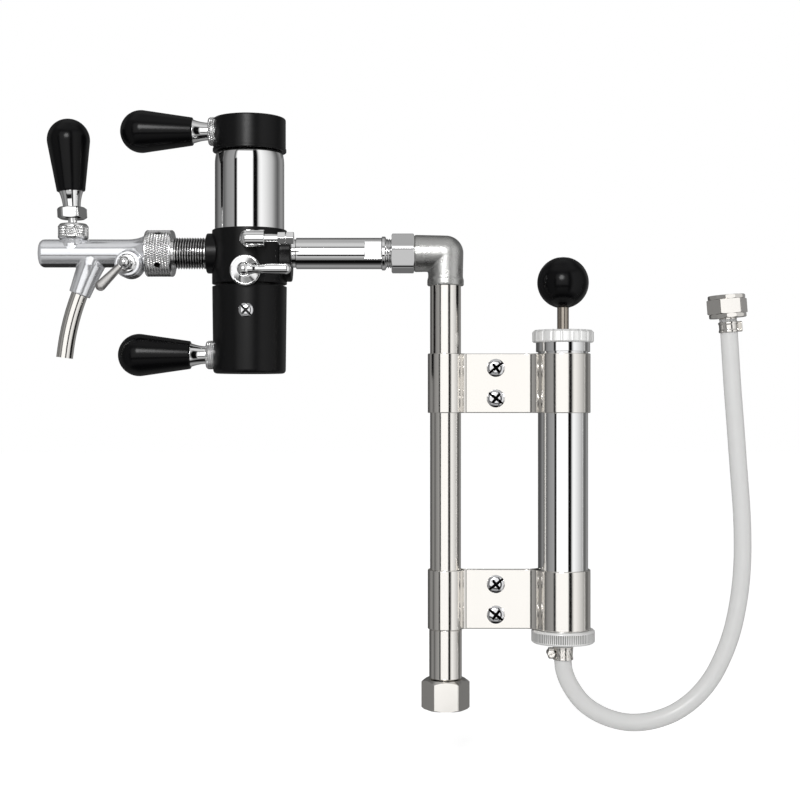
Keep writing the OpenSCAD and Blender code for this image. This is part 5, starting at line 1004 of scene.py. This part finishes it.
base = make("pump_base", [turned([
    (base_low, BASE_BORE), (base_low, BASE_R - 1, 0.4), (base_low + 1, BASE_R, 0.3),
    (base_low + BASE_BAND, BASE_R, 0), (base_low + 1.7, BASE_R, 0), (base_high - 1.7, BASE_R, 0),
    (base_high - BASE_BAND, BASE_R, 0), (base_high - 1, BASE_R, 0.3), (base_high, BASE_R - 1, 0.4),
    (base_high, PUMP_NECK), (base_low + BASE_FLOOR, PUMP_NECK), (base_low + BASE_FLOOR, BASE_BORE)], pump,
    sides=720, shape=base_knurl)], frosted_nickel)
# Painted shade in the knurl's grooves
painted_shade(base, in_grooves(2, (PUMP_X, 0), BASE_R, 0.4, base_low + BASE_BAND, base_high - BASE_BAND))

ROD_R, ROD_END_R, ROD_END_L = 4, 3, 16.2
rod_low, rod_high = heights("pump_rod")
make("pump_rod", [turned([
    (rod_low, 0), (rod_low, ROD_END_R), (rod_low + ROD_END_L, ROD_END_R), (rod_low + ROD_END_L, ROD_R),
    (rod_high, ROD_R), (rod_high, 0)], pump, sides=64)], ground_steel)
bush_low, bush_high = heights("rod_bush")
ROD_HOLE_R, BUSH_R, BUSH_FLANGE_R, BUSH_FLANGE_H = ROD_R + 0.05, 7.5, 10.4, 3
make("rod_bush", [turned([
    (bush_low, ROD_HOLE_R), (bush_low, BUSH_FLANGE_R), (bush_low + BUSH_FLANGE_H, BUSH_FLANGE_R),
    (bush_low + BUSH_FLANGE_H, BUSH_R), (bush_high, BUSH_R, 0.4), (bush_high, ROD_HOLE_R, 0.5)], pump)],
    black_acetal)
KNOB_R, KNOB_HOLE_L = 17.7, 8
knob_low, knob_high = heights("pump_knob")
knob_at = knob_high - KNOB_R
knob = np.vstack([[(knob_low + KNOB_HOLE_L, 0), (knob_low + KNOB_HOLE_L, ROD_HOLE_R), (knob_low, ROD_HOLE_R)],
                  ball_side(KNOB_R, knob_low - knob_at, KNOB_R, 60, at=knob_at)])
make("pump_knob", [lathe(knob, pump, UP, sides=128)], gloss_phenolic)

# Hose fittings: a worm-drive clamp under the pump, a crimped clamp at the far end, and the hose nut with its
# hexagon between two twelve-sided rims. The turned tail in the far end stays as the CAD has it.


def rounded_block(middle, half, axes=np.eye(3), pinch=0.0):
    """A block with rounded edges: |x/a|^8 + |y/b|^8 + |z/c|^8 = 1 for half sizes a, b, c along the
    axes. Its second width is pinched to a waist half way along the first."""
    down, around = np.meshgrid(np.linspace(0, np.pi, 48), np.arange(96) / 96 * 2 * np.pi, indexing="ij")
    unit = np.stack([np.sin(down) * np.cos(around), np.sin(down) * np.sin(around), np.cos(down)], -1)
    unit /= (np.abs(unit) ** 8).sum(-1, keepdims=True) ** (1 / 8)
    unit[..., 1] *= 1 - pinch * np.exp(-(unit[..., 0] / 0.35) ** 2)
    return np.array(middle, float) + (unit * np.array(half, float)) @ np.array(axes, float), False


BAND_R, BAND_T = 6.05, 1.0
WORM_R, WORM_SHAFT_R = 2.7, 2.1
band_low, band_high = heights("hose_clamp")
band_middle = (band_low + band_high) / 2


def worm_slots(far, radius, angle):
    """Sloping slots pressed into the band, two millimetres apart, clear of the housing on the left."""
    from_left = np.abs(angle - np.pi)
    across = ((angle * BAND_R + 0.35 * (far - band_low)) / 2.0) % 1
    on = (np.abs(far - band_middle) < 2.3) & (np.abs(across - 0.5) < 0.25) & (from_left < 2.2)
    return far, radius - 0.35 * on * (radius > BAND_R + 0.5)


def driver_slot(far, radius, angle):
    """One straight slot across the worm's head."""
    on = (np.abs(radius * np.cos(angle - 0.5)) < 0.45) & (far > 9.9)
    return far - 0.9 * on, radius


make("hose_clamp", [
    turned([(band_low, BAND_R), (band_low, BAND_R + BAND_T, 0.3), (band_low + 1, BAND_R + BAND_T, 0.3),
            (band_low + 1.4, BAND_R + 0.8, 0.1), (band_high - 1.4, BAND_R + 0.8, 0.1),
            (band_high - 1, BAND_R + BAND_T, 0.3), (band_high, BAND_R + BAND_T, 0.3), (band_high, BAND_R)],
            pump,
           fine=0.25, skin=BAND_R + 0.5, zero=LEFT, sides=288, shape=worm_slots),
    rounded_block((PUMP_X - BAND_R - 2.1, 0, band_middle), (2.1, 3.4, 3.6)),
    turned([(0, 0), (0, WORM_SHAFT_R, 0.3), (0.6, WORM_R, 0.2), (7.4, WORM_R), (7.4, WORM_SHAFT_R),
            (8.2, WORM_SHAFT_R), (8.2, WORM_R, 0.3), (10.4, WORM_R, 0.4), (10.4, 0)],
           (PUMP_X - BAND_R - 2.4, 5.2, band_middle), FRONT, fine=0.2, shape=driver_slot)],
    polished_stainless)

HOSE_LEAN = math.atan2(0.6, 8)
hose_end = hose_path[-1]
hose_up = np.array([-math.sin(HOSE_LEAN), 0, math.cos(HOSE_LEAN)])
hose_right = np.array([math.cos(HOSE_LEAN), 0, math.sin(HOSE_LEAN)])
CRIMP_LOW, CRIMP_HIGH, CRIMP_R, CRIMP_RIDGE_R = -9.0, -1.8, 6.5, 6.85
EAR_HALF = (1.6, 2.2, 3.6)
far_clamp = make("far_clamp", [
    turned([(CRIMP_LOW, BAND_R), (CRIMP_LOW, CRIMP_RIDGE_R, 0.3), (CRIMP_LOW + 1.3, CRIMP_RIDGE_R, 0.4),
            (CRIMP_LOW + 2.1, CRIMP_R, 0.3), (CRIMP_HIGH - 2.1, CRIMP_R, 0.3),
            (CRIMP_HIGH - 1.3, CRIMP_RIDGE_R, 0.4), (CRIMP_HIGH, CRIMP_RIDGE_R, 0.3), (CRIMP_HIGH, BAND_R)],
            hose_end, hose_up),
    rounded_block(hose_end + (BAND_R + EAR_HALF[0]) * hose_right + (CRIMP_LOW + CRIMP_HIGH) / 2 * hose_up,
                  EAR_HALF, (hose_right, (0, 1, 0), hose_up), 0.4)], polished_stainless)


def twelve_sided(far, radius, angle):
    """Limits the radius of a rim to a polygon of twelve sides."""
    inside = (angle - math.pi / 12) % (math.pi / 6) - math.pi / 12
    return limited(far, radius, END_ACROSS / 2 / np.cos(inside))


HOSE_NUT_ACROSS, HOSE_NUT_BORE, HOSE_NUT_CORE_R, TAIL_HOLE_R, NUT_FLOOR = 24.3, 9.3, 11, 5.5, 4.3
END_ACROSS, END_R, END_H, END_PLACES = 24.5, 12.75, 2.9, (1.0, 13.8)
corner_r = to_corner(HOSE_NUT_ACROSS)
ends = [turned([
    (low, HOSE_NUT_BORE), *chamfered(low, low + END_H, END_R, 0.55, 0.6, 0.3, 0.2),
    (low + END_H, HOSE_NUT_BORE)],
    hose_end, hose_up, fine=0.4, skin=11.5, sides=240, shape=twelve_sided) for low in END_PLACES]
hose_nut = make("hose_nut", ends + [turned([
    (1.2, TAIL_HOLE_R), (1.2, HOSE_NUT_CORE_R), (3.9, HOSE_NUT_CORE_R),
    *chamfered(3.9, 13.8, corner_r, 0.9, 0.5, 0.2, 0.2), (13.8, HOSE_NUT_CORE_R), (16.6, HOSE_NUT_CORE_R),
    (16.6, HOSE_NUT_BORE), (NUT_FLOOR, HOSE_NUT_BORE), (NUT_FLOOR, TAIL_HOLE_R)], hose_end, hose_up, fine=0.4,
    skin=11.5, sides=288, shape=hexagon(HOSE_NUT_ACROSS, 30, 0.6))], polished_stainless)

# Clamps: two halves each, pressed from 1.6 mm stainless sheet and polished, that close round the
# riser and the pump and are bolted through their flat web.
SHEET_T, SPLIT = 1.6, 0.8
FACE_Y = SPLIT + SHEET_T
RISER_SADDLE, PUMP_SADDLE = 10.7, PUMP_NECK
RISER_BEND, PUMP_BEND = 3.7, 11.4


def clamp_path():
    """Middle line of the front half, seen from above: round the riser, through a bend into the flat
    web, through a wider bend and round the pump. Each stretch is an arc or a line."""
    mid = SHEET_T / 2
    riser_r, pump_r = RISER_SADDLE + mid, PUMP_SADDLE + mid
    riser_x = math.sqrt((RISER_SADDLE + SHEET_T + RISER_BEND) ** 2 - (FACE_Y + RISER_BEND) ** 2)
    pump_x = PUMP_X - math.sqrt((PUMP_SADDLE + SHEET_T + PUMP_BEND) ** 2 - (FACE_Y + PUMP_BEND) ** 2)
    riser_turn = math.atan2(-FACE_Y - RISER_BEND, riser_x)
    pump_turn = math.atan2(-FACE_Y - PUMP_BEND, pump_x - PUMP_X)
    arcs = [(0, 0, riser_r, math.asin(SPLIT / riser_r) - math.pi, riser_turn, 60),
            (riser_x, -FACE_Y - RISER_BEND, RISER_BEND + mid, math.pi + riser_turn, math.pi / 2, 20),
            (pump_x, -FACE_Y - PUMP_BEND, PUMP_BEND + mid, math.pi / 2, math.pi + pump_turn, 24),
            (PUMP_X, 0, pump_r, pump_turn, -math.asin(SPLIT / pump_r), 80)]
    made = []
    for x, y, r, start, end, count in arcs:
        turn = np.linspace(start, end, count)
        made.append(np.stack([x + r * np.cos(turn), y + r * np.sin(turn)], -1))
    path = np.vstack(made)
    apart = np.linalg.norm(np.diff(path, axis=0), axis=1) > 1e-6
    return path[np.concatenate([[True], apart])]


def clamp_grid(low, high, mirror):
    """The clamp's edge, a rounded rectangle of sheet thickness by clamp height, carried along its
    path and closed to a point at each end; `mirror` turns it over for the rear half."""
    path = clamp_path()
    ahead = np.gradient(path, axis=0)
    ahead /= np.linalg.norm(ahead, axis=1)[:, None]
    side = np.stack([ahead[:, 1], -ahead[:, 0]], -1)
    edge = outline([(-SHEET_T / 2, low, 0.3), (SHEET_T / 2, low, 0.65), (SHEET_T / 2, high, 0.65),
                    (-SHEET_T / 2, high, 0.3)], ring=True)
    ends = [0, *range(len(path)), len(path) - 1]
    scale = np.ones(len(ends))
    scale[[0, -1]] = 0
    middle = np.array([0, (low + high) / 2])
    section = middle + (edge - middle) * scale[:, None, None]
    xy = path[ends][:, None] + section[..., :1] * side[ends][:, None]
    grid = np.concatenate([xy, section[..., 1:]], -1)
    return (grid[:, ::-1] * (1, -1, 1) if mirror else grid), False


SCREW_X, SCREW_APART = 34.45, 21.0
SCREW_R, SCREW_L = 3.0, 12
HEAD_R, HEAD_H = 6.2, 3.0
CLAMP_NUT_R, CLAMP_NUT_H, CLAMP_NUT_BORE = 5.77, 5, 3.05
heads, screw_grids, nut_grids = [], [], []
for clamp in ("upper", "lower"):
    low, high = heights(clamp + "_clamp_front")
    for half in ("front", "rear"):
        make(f"{clamp}_clamp_{half}", [clamp_grid(low, high, half == "rear")], polished_stainless)
    for side in (-1, 1):
        z = (low + high) / 2 + side * SCREW_APART / 2
        heads.append(((SCREW_X, -FACE_Y, z), HEAD_R, HEAD_H))
        screw_grids += [screw_head(*heads[-1], -52 * side), bar((SCREW_X, 9.4, z), SCREW_R, SCREW_L)]
        nut_grids.append(turned([
            (0, CLAMP_NUT_BORE), *chamfered(0, CLAMP_NUT_H, CLAMP_NUT_R, 0.87, 0.5, 0.2, 0.2),
            (CLAMP_NUT_H, CLAMP_NUT_BORE)], (SCREW_X, FACE_Y, z), (0, 1, 0), fine=0.5, skin=4.5, zero=RIGHT,
            sides=144, shape=hexagon(10, 0, 0.4)))
screws = make("clamp_screws", screw_grids, bright_zinc)
# Painted shade in the screws' cross recesses
painted_shade(screws, lambda x, y, z: sum(np.clip(in_cross(x, y, z, *head), 0, 1) for head in heads))
make("clamp_nuts", nut_grids, bright_zinc)

# What stays as the CAD has it: seals, inner pieces, the pump's barb and the hose's tail. Each gets
# the finish of its slot.

# Food-grade rubber: dull black, slightly dusty
seal_rubber = new_material("seal_rubber", Base_Color=linear("#2A2A2A"), Roughness=0.7, IOR=1.52)
uneven(seal_rubber, 300.0, 4.0, bumps=(0.15, 0.0002))

# Nylon: moulded, satin black
black_nylon = new_material("black_nylon", Base_Color=linear("#2B2B2C"), Roughness=0.45, IOR=1.53)
uneven(black_nylon, 500.0, 2.0, bumps=(0.1, 0.0002))

FINISH = {"stainless": polished_stainless, "polished": bright_chrome, "black_plastic": black_acetal,
          "black_gloss": gloss_phenolic, "inner_plastic": black_nylon, "seal_rubber": seal_rubber,
          "hose_plastic": milky_polyethylene}
for name, piece in frame["nodes"].items():
    piece.data.materials.clear()
    piece.data.materials.append(FINISH[SLOTS[name]])

# Floor: matt white, and lifted to the surround's white by a glow that only the camera sees. Polished
# metal looks through it, so that its underside mirrors the studio and not the floor.
FLOOR_DROP, FLOOR_SIZE = 0.03, 12
bpy.ops.mesh.primitive_plane_add(size=FLOOR_SIZE, location=(0, 0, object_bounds()[0][2] - FLOOR_DROP))
floor = bpy.context.object
floor.name = "floor"
white_floor = bpy.data.materials.new("white_floor")
white_floor.use_nodes = True
white_floor.node_tree.nodes.clear()
ray = add(white_floor, "LightPath").outputs
paint = add(white_floor, "BsdfDiffuse", Color=linear("#F2F2F2"))
glow = add(white_floor, "Emission", Color=(1, 1, 1, 1), Strength=0.42)
lifted = add(white_floor, "AddShader", i0=paint, i1=glow)
seen = add(white_floor, "MixShader", i0=ray["Is Camera Ray"], i1=paint, i2=lifted)
clear = add(white_floor, "BsdfTransparent")
looks = add(white_floor, "MixShader", i0=ray["Is Glossy Ray"], i1=seen, i2=clear)
add(white_floor, "OutputMaterial", Surface=looks)
floor.data.materials.append(white_floor)

# Surround: white to the camera. Polished metal sees a made-up studio of softboxes between black
# flags instead, given as greys round the horizon and greys up from the floor to the zenith.
world = bpy.data.worlds.new("studio")
bpy.context.scene.world = world
world.use_nodes = True
world.node_tree.nodes.clear()

direction = add(world, "SeparateXYZ", Vector=add(world, "TexCoord").outputs["Generated"]).outputs
toward = add(world, "Math", {"operation": "MULTIPLY"}, i0=direction["Y"], i1=-1.0)
azimuth = add(world, "Math", {"operation": "ARCTAN2"}, i0=direction["X"], i1=toward)
azimuth = add(world, "MapRange", i0=azimuth, i1=-math.pi, i2=math.pi)
height = add(world, "Math", {"operation": "ARCSINE"}, i0=direction["Z"])
height = add(world, "MapRange", i0=height, i1=-math.pi / 2, i2=math.pi / 2)
steep = add(world, "Math", {"operation": "ABSOLUTE"}, i0=direction["Z"])


def around(stops):
    """A ramp over degrees from straight behind the camera, -180 to 180."""
    return ramp(world, azimuth, [((degrees + 180) / 360, grey) for degrees, grey in stops])


def above(stops):
    """A ramp over degrees above the horizon, -90 to 90."""
    return ramp(world, height, [((degrees + 90) / 180, grey) for degrees, grey in stops])


upright = around([
    (-180, 80), (-135, 75), (-115, 125), (-98, 130), (-88, 88), (-72, 135), (-48, 150), (-44, 20),
    (-38, 20), (-34, 252), (15, 253), (19, 6), (30, 6), (37, 220), (44, 240), (62, 218), (85, 180),
    (100, 125), (112, 85), (135, 140), (180, 80)])
before = above([
    (-90, 60), (-84, 10), (-57, 6), (-51, 125), (-42, 147), (-29, 188), (-26, 188), (-23, 25), (-12, 8),
    (10, 140), (13, 250), (31, 254), (36, 115), (44, 145), (51, 198), (68, 200), (78, 185), (90, 155)])
behind = above([
    (-90, 60), (-84, 110), (-70, 147), (-55, 133), (-37, 104), (0, 90), (30, 90), (49, 96), (55, 104),
    (62, 150), (79, 168), (90, 155)])
smooth = {"interpolation_type": "SMOOTHSTEP"}
to_rear = add(world, "MapRange", smooth, i0=direction["Y"], i1=-0.25, i2=0.25)
level = add(world, "Mix", {"data_type": "RGBA"}, i0=to_rear, i6=before, i7=behind).outputs[2]
sideways = around([
    (-180, 0), (-150, 0), (-135, 255), (-44, 255), (-34, 0), (15, 0), (18, 255), (135, 255), (150, 0),
    (180, 0)])
not_steep = add(world, "MapRange", smooth, i0=steep, i1=0.55, i2=0.75, i3=1.0, i4=0.0)
sideways = add(world, "Math", {"operation": "MULTIPLY"}, i0=sideways, i1=not_steep)
near_level = add(world, "MapRange", smooth, i0=steep, i1=0.215, i2=0.26, i3=1.0, i4=0.0)
near = add(world, "Math", {"operation": "MAXIMUM"}, i0=near_level, i1=sideways)
bands = add(world, "Mix", {"data_type": "RGBA"}, i0=near, i6=level, i7=upright).outputs[2]
ray = add(world, "LightPath").outputs
plain = add(world, "Background", Color=linear("#F4F4F4"), Strength=0.75)
mirrored = add(world, "Background", Color=bands, Strength=1.15)
white = add(world, "Background", Color=(1, 1, 1, 1), Strength=1.0)
lit = add(world, "MixShader", i0=ray["Is Glossy Ray"], i1=plain, i2=mirrored)
add(world, "OutputWorld", Surface=add(world, "MixShader", i0=ray["Is Camera Ray"], i1=lit, i2=white))

# Key light: a round softbox above the camera, a little to the left, turned down to the pump. It
# gives the grips and the knob their small highlights.
KEY_POWER = 8.0
key_data = bpy.data.lights.new("key", "AREA")
key_data.energy = KEY_POWER
key_data.shape = "DISK"
key_data.size = 0.5
key = bpy.data.objects.new("key", key_data)
key.location = (-0.22, -1.37, 0.79)
key.rotation_euler = (math.radians(67), 0, math.radians(-8))
bpy.context.scene.collection.objects.link(key)

low, high = cad_box
